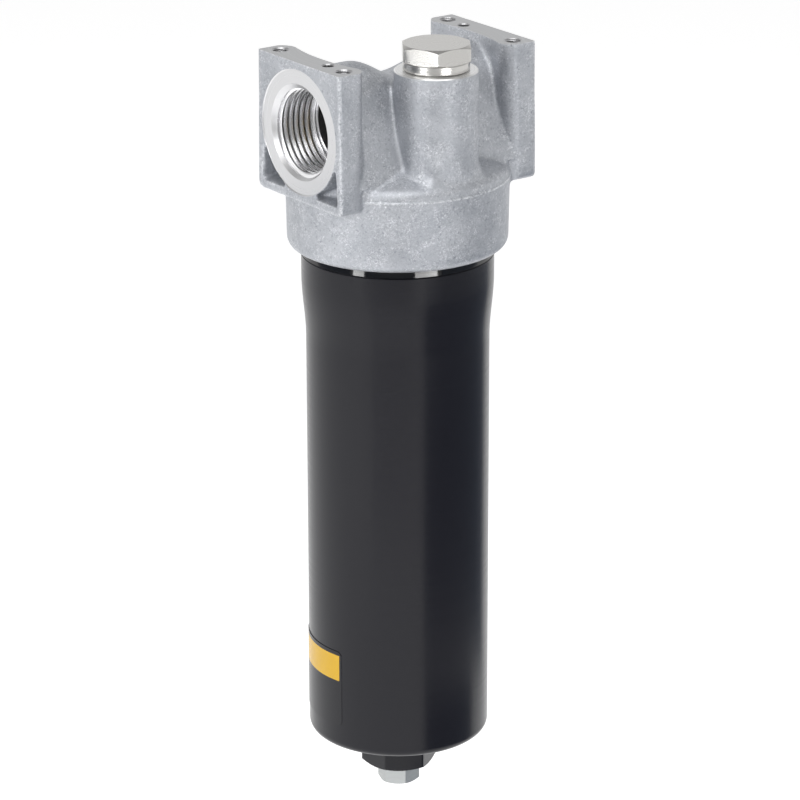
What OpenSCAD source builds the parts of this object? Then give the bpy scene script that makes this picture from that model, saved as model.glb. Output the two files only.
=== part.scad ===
// Inline hydraulic filter for medium pressure: a cast head with two flanged ports, a long bowl
// that screws up into its skirt, and a pleated element that hangs on a spigot inside.
// The bowl's axis is Z. The ports lie along X, the inlet on the -X side and the outlet on the +X
// side. Z = 0 is the top of the two flange plates, where the filter bolts to a bracket.

/* [Flange plates] */
// Distance between the two port faces
face_w = 87; // [84:0.5:94]
// Width of each plate at its top edge
plate_top_w = 50.3; // [49.5:0.1:54]
// Width of each plate at its lower edge
plate_foot_w = 52.1; // [51.6:0.1:56]
// Height of each plate
plate_h = 51.1; // [50:0.1:56]
// Thickness of each plate behind the port
plate_mid_t = 10; // [8.5:0.1:11.5]
// Rounding of the two lower corners of each plate
plate_corner_r = 2.5; // [1:0.1:5]
// Distance between the mounting holes along X
mount_dx = 74.7; // [73:0.1:76]
// Distance between the mounting holes along Y
mount_dy = 39; // [37:0.1:39.6]
// Radius of the tapped mounting holes
mount_hole_r = 2.5; // [2:0.05:3]
// Depth of the mounting holes
mount_hole_depth = 14; // [8:0.5:16]
// Radius of the rounded pillar around each mounting hole
pillar_r = 6.3; // [5.5:0.1:7]
// Radius of the locating hole in each plate
locate_hole_r = 2.1; // [1.5:0.05:2.5]
// Depth of the locating holes
locate_hole_depth = 6.5; // [4:0.5:7]
// Distance of each locating hole from the port axis, along Y
locate_y = 9.25; // [8:0.25:11]

/* [Ports] */
// Depth of the port axis below the top of the plates
port_drop = 25.5; // [25:0.1:27]
// Radius at the crests of the port threads
port_r = 15.15; // [13:0.05:15.5]
// Length of the port threads
port_thread_l = 18; // [15:0.5:18.5]
// Radius of the chamfer at the mouth of each port
port_mouth_r = 17.6; // [17:0.1:19]
// Radius of the machined ring around each port
ring_r = 22.65; // [21:0.05:22.7]
// Depth of the cast pockets beside the ring
pocket_depth = 8; // [4:0.5:9]
// Thickness of the plate's rim outside the pockets
pocket_wall = 2.4; // [2:0.1:2.6]
// Radius of the inlet passage
inlet_r = 13.5; // [11:0.1:14]
// Radius of the outlet passage
outlet_r = 12.5; // [11.5:0.1:13]

/* [Ducts] */
// Radius of the arched crown of the ducts
crown_r = 16.3; // [15.8:0.1:17]
// Depth of the crown below the top of the plates
crown_drop = 3.1; // [2.5:0.1:4]
// Depth of the saddle between the ducts below the top of the plates
saddle_drop = 11; // [9:0.25:12]
// Half of the length over which the crown dips to the saddle
saddle_l = 20; // [16:0.5:24]
// Slope of the duct flanks from upright, in degrees
flank_slope = 20; // [16:0.5:21]

/* [Skirt] */
// Wall thickness of the skirt at its widest line
skirt_wall = 5.4; // [5:0.1:8.5]
// Amount by which the skirt narrows to its lower edge
skirt_taper = 0.4; // [0:0.1:0.8]
// Depth of the skirt's widest line below the top of the plates
shoulder_drop = 47.7; // [46.5:0.1:49]
// Depth of the skirt's lower edge below the top of the plates
skirt_drop = 74; // [73:0.5:78]
// Rounding of the skirt's lower edge
skirt_edge_r = 3.6; // [1:0.1:4]
// Depth of the ceiling of the bowl's seat below the top of the plates
ceiling_drop = 50; // [49:0.5:51]

/* [Indicator boss] */
// Distance of the boss's wall inside the skirt's widest line
boss_inset = 2.2; // [0.8:0.1:2.8]
// Radius of the boss
boss_r = 15.2; // [14.5:0.1:15.6]
// Depth of the boss below the top of the plates
boss_drop = 4; // [3:0.5:5]
// Fillet at the foot of the boss
boss_fillet_r = 7; // [3:0.5:8]
// Radius at the crests of the boss thread
indicator_r = 9.19; // [8:0.01:9.5]
// Depth of the threaded hole in the boss
indicator_depth = 14; // [10:0.5:15]
// Radius of the drillings to the inlet and the outlet
drilling_r = 1.75; // [1:0.25:2]

/* [Indicator plug] */
// Width across flats of the plug
plug_af = 24; // [22:0.5:26]
// Height of the plug's hexagon
plug_hex_h = 6; // [5:0.25:8]
// Radius of the plug's collar
plug_collar_r = 12; // [11.6:0.1:14]
// Height of the plug's collar
plug_collar_h = 3.6; // [3:0.1:5]
// Length of the plug's thread
plug_thread_l = 12; // [8:0.5:13]

/* [Bowl] */
// Outer radius of the bowl's body
bowl_r = 33.85; // [32.5:0.05:34.5]
// Amount by which the bowl's neck and the crests of its thread are wider than its body
neck_growth = 1.55; // [1.1:0.05:2.1]
// Wall thickness of the bowl's body
bowl_wall = 5.25; // [4:0.05:5.5]
// Depth of the start of the neck's taper below the top of the plates
taper_top_drop = 86; // [84:0.5:92]
// Length of the taper from neck to body
taper_l = 23; // [15:0.5:30]
// Depth of the bowl's bottom below the top of the plates
bowl_drop = 266; // [180:1:320]
// Rounding of the bowl's lower edge
bowl_edge_r = 3.4; // [2:0.1:4]
// Thickness of the bowl's floor
floor_t = 6; // [5:0.25:8]
// Width across flats of the bowl's hexagon
bowl_af = 25; // [22:0.5:30]
// Height of the bowl's hexagon
bowl_hex_h = 15; // [12:0.5:20]
// Step from the crests of the thread in to the bowl's sealing rim
rim_step = 1.8; // [1.2:0.05:2.2]
// Depth of the seal groove in the rim
groove_depth = 2.8; // [2:0.05:3]
// Width of the seal groove
groove_w = 5; // [4.8:0.1:5.4]
// Thickness of the backup ring
backup_t = 1.4; // [1:0.1:1.6]

/* [Drain plug] */
// Width across flats of the drain plug
drain_af = 14; // [12:0.5:17]
// Height of the drain plug's hexagon
drain_hex_h = 6.8; // [5:0.1:9]
// Radius at the crests of the thread in the drain hole
drain_r = 4.28; // [3.5:0.01:4.6]
// Length of the drain plug's thread
drain_thread_l = 9; // [6:0.5:11]
// Thickness of the drain plug's seal
drain_seal_t = 1; // [0.6:0.1:2]

/* [Filter element] */
// Space round the element inside the bowl
element_gap = 2.6; // [1.6:0.1:3]
// Step from the rim of the end caps in to the pleats
pleat_inset = 1; // [0.8:0.1:3]
// Radius at the bottom of the pleats
pleat_root_r = 15.5; // [14.5:0.1:18]
// Number of pleats
pleat_count = 48; // [24:1:60]
// Outer radius of the spigot that the element hangs on
spigot_r = 12.5; // [12:0.1:13]
// Radius of the bore in the spigot
spigot_bore_r = 9.5; // [8:0.1:9.8]
// Length of the spigot
spigot_l = 14; // [12:0.5:15]
// Radius of the round section of the element's seal ring
element_ring_t = 1.12; // [0.9:0.01:1.2]
// Wall thickness of the core tube
core_wall = 1; // [0.8:0.1:1.5]
// Radius of the holes in the core tube
core_hole_r = 2.2; // [1:0.1:2.6]
// Height of each band around the pleats
band_h = 6; // [3:0.5:10]
// Number of bands around the pleats
band_count = 3; // [1:1:4]

/* [Bypass valve] */
// Radius of the hole for the valve seat
seat_r = 7; // [6.5:0.1:7.4]
// Radius of the opening through the seat
seat_bore_r = 4.6; // [3.5:0.1:5]
// Radius of the poppet's head
poppet_r = 6.5; // [6:0.1:7]
// Radius of the poppet's stem
stem_r = 2; // [1.5:0.1:2.4]
// Radius of the spring, to the middle of its wire
spring_r = 4.4; // [3.8:0.1:4.6]
// Radius of the spring wire
wire_r = 0.6; // [0.4:0.05:0.7]
// Number of turns of the spring
spring_turns = 6; // [4:1:8]
// Travel of the poppet
poppet_travel = 4; // [2:0.5:4.5]

/* [Label] */
// Height of the label film on the bowl
label_h = 30; // [20:0.5:45]
// Angle that the label wraps round the bowl
label_wrap = 65; // [30:1:120]
// Height of the label's lower edge above the bowl's bottom
label_rise = 10; // [6:0.5:60]
// Thickness of the label film
label_t = 0.2; // [0.15:0.05:0.4]

/* [Clearances] */
// Gap between the crests of mating threads
thread_gap = 0.1; // [0.05:0.01:0.15]
// Gap of pieces that slide or plug into each other
fit_gap = 0.08; // [0.03:0.01:0.1]
// Gap of a ring in its groove
ring_gap = 0.02; // [0.01:0.01:0.05]
// Gap between faces that stop against each other
stop_gap = 0.05; // [0.02:0.01:0.1]
// Gap between faces that only lie near each other
free_gap = 0.3; // [0.3:0.05:0.5]

/* [Hidden] */
$fn = 96;
eps = 0.01;
reach = 200;

// Directions, seen from above
left = -1;
right = 1;
inlet_angle = 180;

// Radii from the bowl outwards
neck_r = bowl_r + neck_growth;
bowl_bore_r = bowl_r - bowl_wall;
rim_r = neck_r - rim_step;
seal_bore_r = rim_r + fit_gap;
thread_bore_r = neck_r + thread_gap;
skirt_r = thread_bore_r + skirt_wall;
cap_r = bowl_bore_r - element_gap;
pleat_r = cap_r - pleat_inset;

// Plates and ports
face_x = face_w / 2;
port_z = -port_drop;
pillar_x = mount_dx / 2;
pillar_y = mount_dy / 2;
plate_inner_x = pillar_x - pillar_r;
plate_mid_x = face_x - plate_mid_t;
hollow_sag = plate_mid_x - plate_inner_x;
hollow_r = (pow(pillar_y, 2) + pow(hollow_sag, 2)) / (2 * hollow_sag);
ring_depth = 0.4;
mouth_chamfer = port_mouth_r - port_r;
hole_chamfer = 0.5;
drill_tip = 0.6;
thread_end_x = face_x - port_thread_l;

// Pockets, outlined from the ring and the rim of the plate
ring_land = 0.3;
pocket_top_y = ring_r - 0.5;
pocket_top_z = port_z - 5.7;
pocket_low_y = plate_foot_w / 2 - pocket_wall - 0.2;
pocket_low_z = 1.3 * pocket_wall - plate_h;
pocket_in_y = ring_r - 14;

// Ducts: at each station along X the arch has a crown over two sloping flanks
duct_end_x = plate_inner_x + 3;
duct_foot_z = -42.5;
arch_z = -crown_drop - crown_r;
flank_z = arch_z + crown_r * sin(flank_slope);
flank_y = crown_r * cos(flank_slope);
arch_steps = 16;
station_steps = 20;

// Head cavity
wall_t = 8;
divide_x = -7;
ceiling_z = -ceiling_drop;
skirt_z = -skirt_drop;
shoulder_z = -shoulder_drop;
shoulder_round = 4;
shoulder_rise = 5.1;
shoulder_slope = 24.6;
shoulder_l = skirt_r - 2.9;
seal_bore_l = 8;
entry_chamfer = 0.9;
spigot_z = ceiling_z - spigot_l;
slot_in_r = spigot_r + 4;
slot_out_r = cap_r;
slot_half_angle = 38;

// Indicator boss, its drillings and its plug
boss_z = -boss_drop;
boss_y = boss_inset + boss_r - skirt_r;
boss_foot_z = shoulder_z + 3.7;
apron_r = skirt_r - eps;
apron_z = shoulder_z + 1.3;
apron_h = 15;
apron_slope = 60;
drilling_x = 5;
drilling_y = boss_y + 2;
drilling_z = boss_z - indicator_depth + 2;
inlet_drilling_x = divide_x - wall_t - 6;
plug_turn = 56;
hex_chamfer = 25;
hex_end = 0.985;
plug_relief_r = plug_collar_r - 1;
plug_seal_in_r = indicator_r + 0.2;
plug_seal_t = 1.1;

// Bowl
bowl_z = -bowl_drop;
rim_z = ceiling_z - free_gap;
rim_foot_z = ceiling_z - seal_bore_l - free_gap;
groove_z = rim_z - 2;
groove_r = rim_r - groove_depth;
neck_step = 0.3;
neck_step_z = skirt_z - 3.1;
floor_z = bowl_z + floor_t;
floor_edge_r = 4;
hex_z = bowl_z - bowl_hex_h;
bowl_turn = 34;
taper_steps = 10;
bowl_ring_t = (seal_bore_r - groove_r) / 2 - ring_gap;
bowl_ring_r = (seal_bore_r + groove_r) / 2;
bowl_ring_z = groove_z - ring_gap - bowl_ring_t;

// Drain plug
drain_z = hex_z - drain_seal_t - 2 * stop_gap;
drain_turn = 13;
drain_seal_in_r = drain_r + 0.5;
drain_seal_out_r = drain_af / 2 - 0.2;

// Element
cap_t = 1.5;
cap_rim_h = 4;
cap_z = spigot_z - 0.5;
neck_top_z = ceiling_z - 4;
neck_wall = 3.5;
neck_bore_r = spigot_r + fit_gap;
element_ring_r = neck_bore_r + element_ring_t;
ring_groove_r = element_ring_r + element_ring_t + ring_gap;
ring_groove_h = 2 * element_ring_t + 0.6;
ring_groove_z = neck_top_z - 3;
foot_r = 15;
foot_wall = 2;
foot_h = 12.2;
pleat_top_z = cap_z - cap_t;
pleat_foot_z = floor_z + free_gap + foot_h + cap_t;
pleat_l = pleat_top_z - pleat_foot_z;
core_r = neck_bore_r - 0.2;
core_gap = 0.3;
pleat_tip = 0.26;
core_rows = 14;
core_columns = 8;
band_t = 0.6;

// Bypass valve, along X in the wall between the two passages
seat_flange_r = seat_r + 1.5;
seat_flange_t = 1.2;
seat_chamfer = 1.2;
poppet_t = 3.2;
poppet_x = divide_x + stop_gap;
poppet_back_x = poppet_x + poppet_t;
hub_r = spring_r + wire_r + 0.6;
spring_reserve = 2.55;
hub_x = poppet_back_x + 2 * wire_r * spring_turns + poppet_travel + spring_reserve;
hub_l = 1.2;
retainer_t = 2;
retainer_x = hub_x + hub_l;
window_r = 2.5;
window_count = 6;
window_ring_r = (hub_r + outlet_r) / 2 - 0.1;
clip_x = retainer_x + retainer_t;
clip_t = 1;
clip_depth = 0.9;
clip_in_r = outlet_r - 1.3;
clip_gap_angle = 40;
stem_l = clip_x - poppet_back_x;
spring_steps = 14;
spring_sides = 8;

// Label
label_z = bowl_z + label_rise;
label_edge_angle = 195;

// Crown height of the ducts at a distance x from the bowl's axis
function dip(x) = let (t = max(0, 1 - abs(x) / saddle_l)) t * t * (3 - 2 * t);
function crown_z(x) = -crown_drop - (saddle_drop - crown_drop) * dip(x);
function flank_at(z) = flank_y + (flank_z - z) * tan(flank_slope);

// Points of an arc from angle a0 to a1, in steps
function arc(cx, cy, r, a0, a1, steps) =
    [for (i = [0:steps]) let (a = a0 + (a1 - a0) * i / steps) [cx + r * cos(a), cy + r * sin(a)]];

// Outline of the duct's section at x: the foot, one flank, the crown, and the other flank
function arch_section(x) = let (squeeze = (crown_z(x) - flank_z) / (crown_r * (1 - sin(flank_slope))))
    concat([[flank_at(duct_foot_z), duct_foot_z]],
        [for (i = [0:arch_steps])
            let (a = flank_slope + (180 - 2 * flank_slope) * i / arch_steps,
                z = arch_z + crown_r * sin(a))
            [crown_r * cos(a), flank_z + (z - flank_z) * squeeze]],
        [[-flank_at(duct_foot_z), duct_foot_z]]);

// Bowl radius down the taper
function taper_r(t) = bowl_r + (neck_r - bowl_r) * (1 - t * t * (3 - 2 * t));

// A revolved solid lying along X on the port axis
module along_x(x = 0) {
    translate([x, 0, port_z]) rotate([0, 90, 0]) children();
}

// A hexagon prism from z_low up by h, with the corners of either end turned to a cone
module chamfered_hex(af, z_low, h, turn, low_end = true, high_end = true) {
    end_r = af / 2 * hex_end;
    out_r = af / sqrt(3) + 1;
    cone_h = (out_r - end_r) * tan(hex_chamfer);
    z_high = z_low + h;
    intersection() {
        translate([0, 0, z_low]) rotate([0, 0, turn]) cylinder(d = 2 * af / sqrt(3), h = h, $fn = 6);
        rotate_extrude()
            polygon(concat(
                low_end ? [[0, z_low], [end_r, z_low], [out_r, z_low + cone_h]]
                    : [[0, z_low - 1], [out_r, z_low - 1]],
                high_end ? [[out_r, z_high - cone_h], [end_r, z_high], [0, z_high]]
                    : [[out_r, z_high + 1], [0, z_high + 1]]));
    }
}

// Flange plate on the +X side: pillars at the mounting holes, a hollow back between them
module plate_plan() {
    difference() {
        union() {
            translate([plate_inner_x, -pillar_y]) square([pillar_r + eps, 2 * pillar_y]);
            translate([pillar_x, -plate_foot_w / 2]) square([face_x - pillar_x, plate_foot_w]);
            for (side = [left, right]) translate([pillar_x, side * pillar_y]) circle(pillar_r);
        }
        translate([plate_mid_x - hollow_r, 0]) circle(hollow_r, $fn = 180);
    }
}

// Outline of a plate seen along X: drafted sides and rounded lower corners
module plate_front() {
    difference() {
        polygon([[-plate_top_w / 2, 0], [-plate_foot_w / 2, -plate_h],
            [plate_foot_w / 2, -plate_h], [plate_top_w / 2, 0]]);
        for (side = [left, right]) translate([side * plate_foot_w / 2, -plate_h])
            difference() {
                translate([-plate_corner_r, -plate_corner_r]) square(2 * plate_corner_r);
                translate([-side * plate_corner_r, plate_corner_r]) circle(plate_corner_r);
                translate([-plate_corner_r, plate_corner_r]) square(2 * plate_corner_r);
                translate([side < 0 ? plate_corner_r : -2 * plate_corner_r, -plate_corner_r])
                    square([plate_corner_r, 2 * plate_corner_r]);
            }
    }
}

module plate() {
    intersection() {
        translate([0, 0, -plate_h]) linear_extrude(plate_h) plate_plan();
        rotate([90, 0, 90]) linear_extrude(face_x) plate_front();
    }
}

// The arched body of both ducts, lofted along X through the saddle
module ducts() {
    xs = concat([-duct_end_x],
        [for (i = [0:station_steps]) saddle_l * (2 * i / station_steps - 1)], [duct_end_x]);
    sections = [for (x = xs) [for (p = arch_section(x)) [x, p[0], p[1]]]];
    n = len(sections[0]);
    last = len(xs) - 1;
    points = [for (s = sections) each s];
    sides = [for (i = [0:last - 1]) for (j = [0:n - 1]) let (k = (j + 1) % n)
        each [[i * n + j, (i + 1) * n + k, i * n + k], [i * n + j, (i + 1) * n + j, (i + 1) * n + k]]];
    caps = [[for (j = [0:n - 1]) j], [for (j = [n - 1:-1:0]) last * n + j]];
    polyhedron(points = points, faces = concat(sides, caps));
}

// Skirt and its sloping shoulder
module skirt() {
    foot_r = skirt_r - skirt_taper;
    rotate_extrude()
        polygon(concat(
            [[0, skirt_z], [foot_r - skirt_edge_r, skirt_z]],
            arc(foot_r - skirt_edge_r, skirt_z + skirt_edge_r, skirt_edge_r, -90, 0, 6),
            [[skirt_r, shoulder_z]],
            arc(skirt_r - shoulder_round, shoulder_z + 1, shoulder_round, 0, 90 - shoulder_slope, 6),
            [[0, shoulder_z + shoulder_rise + shoulder_l * tan(shoulder_slope)]]));
}

// Boss for the pressure indicator, with a fillet round its foot
module boss() {
    translate([0, boss_y, 0]) {
        translate([0, 0, boss_foot_z]) cylinder(r = boss_r, h = boss_z - boss_foot_z);
        intersection() {
            rotate_extrude()
                polygon(concat([[0, boss_foot_z - 4], [boss_r + boss_fillet_r, boss_foot_z - 4]],
                    arc(boss_r + boss_fillet_r, boss_foot_z + boss_fillet_r, boss_fillet_r,
                        270, 180, 8),
                    [[0, boss_foot_z + boss_fillet_r]]));
            // The fillet narrows towards the front, where the skirt ends
            translate([0, -boss_y, 0]) rotate_extrude()
                polygon([[0, boss_foot_z - 5], [apron_r, boss_foot_z - 5], [apron_r, apron_z],
                    [apron_r - apron_h / tan(apron_slope), apron_z + apron_h],
                    [0, apron_z + apron_h]]);
        }
    }
}

// Cast pockets in a plate's face, beside the machined ring
module pockets() {
    for (side = [left, right])
        translate([face_x - pocket_depth, 0, 0]) rotate([90, 0, 90]) linear_extrude(reach)
            difference() {
                polygon([[side * pocket_top_y, pocket_top_z], [side * pocket_low_y, pocket_low_z],
                    [side * pocket_in_y, pocket_low_z], [side * (pocket_in_y + 4), pocket_top_z]]);
                translate([0, port_z]) circle(ring_r + ring_land);
            }
}

// Tapped hole from z = 0 down, with a chamfered mouth and a drill tip
module tapped_hole(r, depth) {
    translate([0, 0, -depth]) cylinder(r = r, h = depth + 1);
    translate([0, 0, -depth - r * drill_tip]) cylinder(r1 = 0, r2 = r, h = r * drill_tip);
    translate([0, 0, -hole_chamfer]) cylinder(r1 = r, r2 = r + 2 * hole_chamfer, h = 2 * hole_chamfer);
}

// Threaded port from the face inwards, its mouth chamfered and its ring faced flat
module port() {
    along_x(thread_end_x) cylinder(r = port_r, h = port_thread_l + 1);
    along_x(face_x - ring_depth) cylinder(r = ring_r, h = 1);
    along_x(face_x - ring_depth - mouth_chamfer)
        cylinder(r1 = port_r, r2 = port_mouth_r, h = mouth_chamfer);
}

// A straight drilling of radius r between two points
module drilling(from, to, r) {
    d = to - from;
    l = norm(d);
    translate(from) rotate([0, acos(d[2] / l), atan2(d[1], d[0])]) cylinder(r = r, h = l, $fn = 32);
}

// Seat of the bowl in the skirt, left round the element's spigot
module bowl_seat() {
    thread_top = ceiling_z - seal_bore_l;
    rotate_extrude()
        polygon([[spigot_r, ceiling_z], [seal_bore_r, ceiling_z], [seal_bore_r, thread_top],
            [thread_bore_r, thread_top - 1], [thread_bore_r, skirt_z + entry_chamfer],
            [thread_bore_r + entry_chamfer, skirt_z], [thread_bore_r + entry_chamfer, skirt_z - 1],
            [0, skirt_z - 1], [0, spigot_z], [spigot_r - 0.8, spigot_z],
            [spigot_r, spigot_z + 0.8]]);
}

// Way from the inlet down to the space round the element
module inlet_slot() {
    translate([0, 0, ceiling_z - 1]) rotate([0, 0, inlet_angle - slot_half_angle])
        rotate_extrude(angle = 2 * slot_half_angle)
            translate([slot_in_r, 0]) square([slot_out_r - slot_in_r, port_z - ceiling_z + 1]);
}

module head() {
    color("silver")
    difference() {
        union() {
            for (turn = [0, 180]) rotate([0, 0, turn]) plate();
            ducts();
            skirt();
            boss();
        }
        bowl_seat();
        for (turn = [0, 180]) rotate([0, 0, turn]) {
            port();
            pockets();
            for (side = [left, right]) translate([pillar_x, side * pillar_y, 0])
                tapped_hole(mount_hole_r, mount_hole_depth);
            translate([pillar_x - 0.4, locate_y, 0]) tapped_hole(locate_hole_r, locate_hole_depth);
        }
        // Inlet passage, down to the bowl
        along_x(-thread_end_x - 1) cylinder(r = inlet_r, h = thread_end_x + 1 + divide_x - wall_t);
        inlet_slot();
        // Outlet passage, up from the spigot
        along_x(divide_x) cylinder(r = outlet_r, h = thread_end_x + 1 - divide_x);
        translate([0, 0, spigot_z - 1]) cylinder(r = spigot_bore_r, h = port_z - spigot_z + 1);
        // Bypass seat hole, and the groove for the circlip
        along_x(divide_x - wall_t - 1) cylinder(r = seat_r, h = wall_t + 2);
        along_x(clip_x) cylinder(r = outlet_r + clip_depth + ring_gap, h = clip_t + 2 * stop_gap);
        // Indicator port, with a drilling to each side of the element
        translate([0, boss_y, boss_z]) tapped_hole(indicator_r, indicator_depth);
        drilling([drilling_x, drilling_y, drilling_z], [drilling_x, 0, port_z], drilling_r);
        drilling([-drilling_x, drilling_y, drilling_z], [inlet_drilling_x, -drilling_x, port_z], drilling_r);
    }
}

module indicator_plug() {
    color("gainsboro")
    translate([0, boss_y, boss_z + stop_gap]) {
        difference() {
            rotate_extrude()
                polygon([[0, -plug_thread_l], [indicator_r - thread_gap - 1, -plug_thread_l],
                    [indicator_r - thread_gap, -plug_thread_l + 1], [indicator_r - thread_gap, 0],
                    [plug_collar_r - 0.4, 0], [plug_collar_r, 0.4],
                    [plug_collar_r, plug_collar_h - 0.4], [plug_collar_r - 0.4, plug_collar_h],
                    [0, plug_collar_h]]);
            difference() {
                translate([0, 0, -1]) cylinder(r = plug_relief_r, h = plug_seal_t + stop_gap + 1);
                translate([0, 0, -1]) cylinder(r = indicator_r - thread_gap, h = plug_seal_t + 3);
            }
        }
        chamfered_hex(plug_af, plug_collar_h, plug_hex_h, plug_turn);
    }
}

module indicator_plug_seal() {
    color("dimgray")
    translate([0, boss_y, boss_z + stop_gap])
        difference() {
            cylinder(r = plug_relief_r - stop_gap, h = plug_seal_t);
            translate([0, 0, -1]) cylinder(r = plug_seal_in_r - stop_gap, h = plug_seal_t + 2);
        }
}

module bypass_seat() {
    color("goldenrod")
    along_x(divide_x)
        rotate_extrude()
            polygon([[seat_bore_r, -wall_t - seat_flange_t], [seat_flange_r, -wall_t - seat_flange_t],
                [seat_flange_r, -wall_t], [seat_r - fit_gap, -wall_t], [seat_r - fit_gap, 0],
                [seat_bore_r + seat_chamfer, 0], [seat_bore_r, -seat_chamfer]]);
}

module bypass_poppet() {
    color("lightsteelblue")
    along_x(poppet_x)
        rotate_extrude()
            polygon([[0, -seat_chamfer - 1.5], [1.5, -seat_chamfer - 1.5],
                [seat_bore_r - free_gap, -seat_chamfer + 0.2],
                [seat_bore_r + seat_chamfer - free_gap, 0], [poppet_r, 0],
                [poppet_r, poppet_t - 0.5], [poppet_r - 0.5, poppet_t], [stem_r, poppet_t],
                [stem_r, poppet_t + stem_l - 0.4], [stem_r - 0.4, poppet_t + stem_l],
                [0, poppet_t + stem_l]]);
}

// Coil spring: one round wire swept along a helix between the poppet and the retainer
module bypass_spring() {
    start = poppet_back_x + wire_r + stop_gap;
    end = hub_x - wire_r - stop_gap;
    n = spring_turns * spring_steps;
    rings = [for (i = [0:n]) let (a = 360 * i / spring_steps, x = start + (end - start) * i / n)
        [for (j = [0:spring_sides - 1]) let (b = 360 * j / spring_sides,
            r = spring_r + wire_r * cos(b))
            [x + wire_r * sin(b), r * cos(a), port_z + r * sin(a)]]];
    m = spring_sides;
    sides = [for (i = [0:n - 1]) for (j = [0:m - 1]) let (k = (j + 1) % m)
        each [[i * m + j, (i + 1) * m + k, i * m + k], [i * m + j, (i + 1) * m + j, (i + 1) * m + k]]];
    caps = [[for (j = [0:m - 1]) j], [for (j = [m - 1:-1:0]) n * m + j]];
    color("gray") polyhedron(points = [for (r = rings) each r], faces = concat(sides, caps));
}

module bypass_retainer() {
    color("lightsteelblue")
    along_x(0)
        difference() {
            union() {
                translate([0, 0, retainer_x]) cylinder(r = outlet_r - fit_gap, h = retainer_t);
                translate([0, 0, hub_x]) cylinder(r = hub_r, h = hub_l + eps);
            }
            translate([0, 0, hub_x - 1]) cylinder(r = stem_r + fit_gap, h = hub_l + retainer_t + 2);
            for (i = [0:window_count - 1]) rotate([0, 0, 360 * i / window_count])
                translate([window_ring_r, 0, hub_x - 1]) cylinder(r = window_r, h = hub_l + retainer_t + 2);
        }
}

module bypass_circlip() {
    color("dimgray")
    along_x(clip_x + stop_gap)
        rotate([0, 0, clip_gap_angle / 2])
            rotate_extrude(angle = 360 - clip_gap_angle)
                translate([clip_in_r, 0]) square([outlet_r + clip_depth - clip_in_r, clip_t]);
}

module bowl() {
    color("#202124")
    difference() {
        union() {
            rotate_extrude()
                polygon(concat(
                    [[0, bowl_z], [bowl_r - bowl_edge_r, bowl_z]],
                    arc(bowl_r - bowl_edge_r, bowl_z + bowl_edge_r, bowl_edge_r, -90, 0, 6),
                    [for (i = [taper_steps:-1:0]) let (t = i / taper_steps)
                        [taper_r(t), -taper_top_drop - taper_l * t]],
                    [[neck_r, neck_step_z - neck_step], [neck_r - neck_step, neck_step_z],
                     [neck_r, neck_step_z + neck_step], [neck_r - neck_step, skirt_z],
                     [neck_r, skirt_z + neck_step], [neck_r, rim_foot_z - 1.5],
                     [neck_r - 1.2, rim_foot_z], [rim_r, rim_foot_z], [rim_r, groove_z - groove_w],
                     [groove_r, groove_z - groove_w], [groove_r, groove_z], [rim_r, groove_z],
                     [rim_r, rim_z - 0.8], [rim_r - 0.8, rim_z], [0, rim_z]]));
            chamfered_hex(bowl_af, hex_z, bowl_hex_h + 1, bowl_turn, high_end = false);
        }
        rotate_extrude()
            polygon(concat(
                [[0, floor_z]],
                arc(bowl_bore_r - floor_edge_r, floor_z + floor_edge_r, floor_edge_r, -90, 0, 6),
                [[bowl_bore_r, rim_z + 1], [0, rim_z + 1]]));
        translate([0, 0, hex_z - 1]) cylinder(r = drain_r, h = bowl_hex_h + floor_t + 2);
    }
}

module bowl_o_ring() {
    color("#303030")
    translate([0, 0, bowl_ring_z]) rotate_extrude()
        translate([bowl_ring_r, 0]) circle(bowl_ring_t, $fn = 32);
}

module bowl_backup_ring() {
    color("ivory")
    translate([0, 0, groove_z - groove_w + ring_gap])
        difference() {
            cylinder(r = seal_bore_r - ring_gap, h = backup_t);
            translate([0, 0, -1]) cylinder(r = groove_r + ring_gap, h = backup_t + 2);
        }
}

module bowl_label() {
    color("gold")
    translate([0, 0, label_z]) rotate([0, 0, label_edge_angle - label_wrap])
        rotate_extrude(angle = label_wrap)
            translate([bowl_r + ring_gap, 0]) square([label_t, label_h]);
}

module drain_plug() {
    color("gainsboro")
    union() {
        chamfered_hex(drain_af, drain_z - drain_hex_h, drain_hex_h, drain_turn, high_end = false);
        translate([0, 0, drain_z - drain_hex_h / 2])
            cylinder(r = drain_r - fit_gap, h = drain_thread_l + drain_seal_t + drain_hex_h / 2);
    }
}

module drain_plug_seal() {
    color("dimgray")
    translate([0, 0, hex_z - stop_gap - drain_seal_t])
        difference() {
            cylinder(r = drain_seal_out_r, h = drain_seal_t);
            translate([0, 0, -1]) cylinder(r = drain_seal_in_r, h = drain_seal_t + 2);
        }
}

module element_top_cap() {
    color("silver")
    rotate_extrude()
        polygon([[neck_bore_r, pleat_top_z], [cap_r - 0.7, pleat_top_z],
            [cap_r - 0.7, pleat_top_z - cap_rim_h], [cap_r, pleat_top_z - cap_rim_h],
            [cap_r, cap_z], [neck_bore_r + neck_wall, cap_z],
            [neck_bore_r + neck_wall, neck_top_z], [neck_bore_r + 0.5, neck_top_z],
            [neck_bore_r, neck_top_z - 0.5], [neck_bore_r, ring_groove_z],
            [ring_groove_r, ring_groove_z], [ring_groove_r, ring_groove_z - ring_groove_h],
            [neck_bore_r, ring_groove_z - ring_groove_h]]);
}

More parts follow.
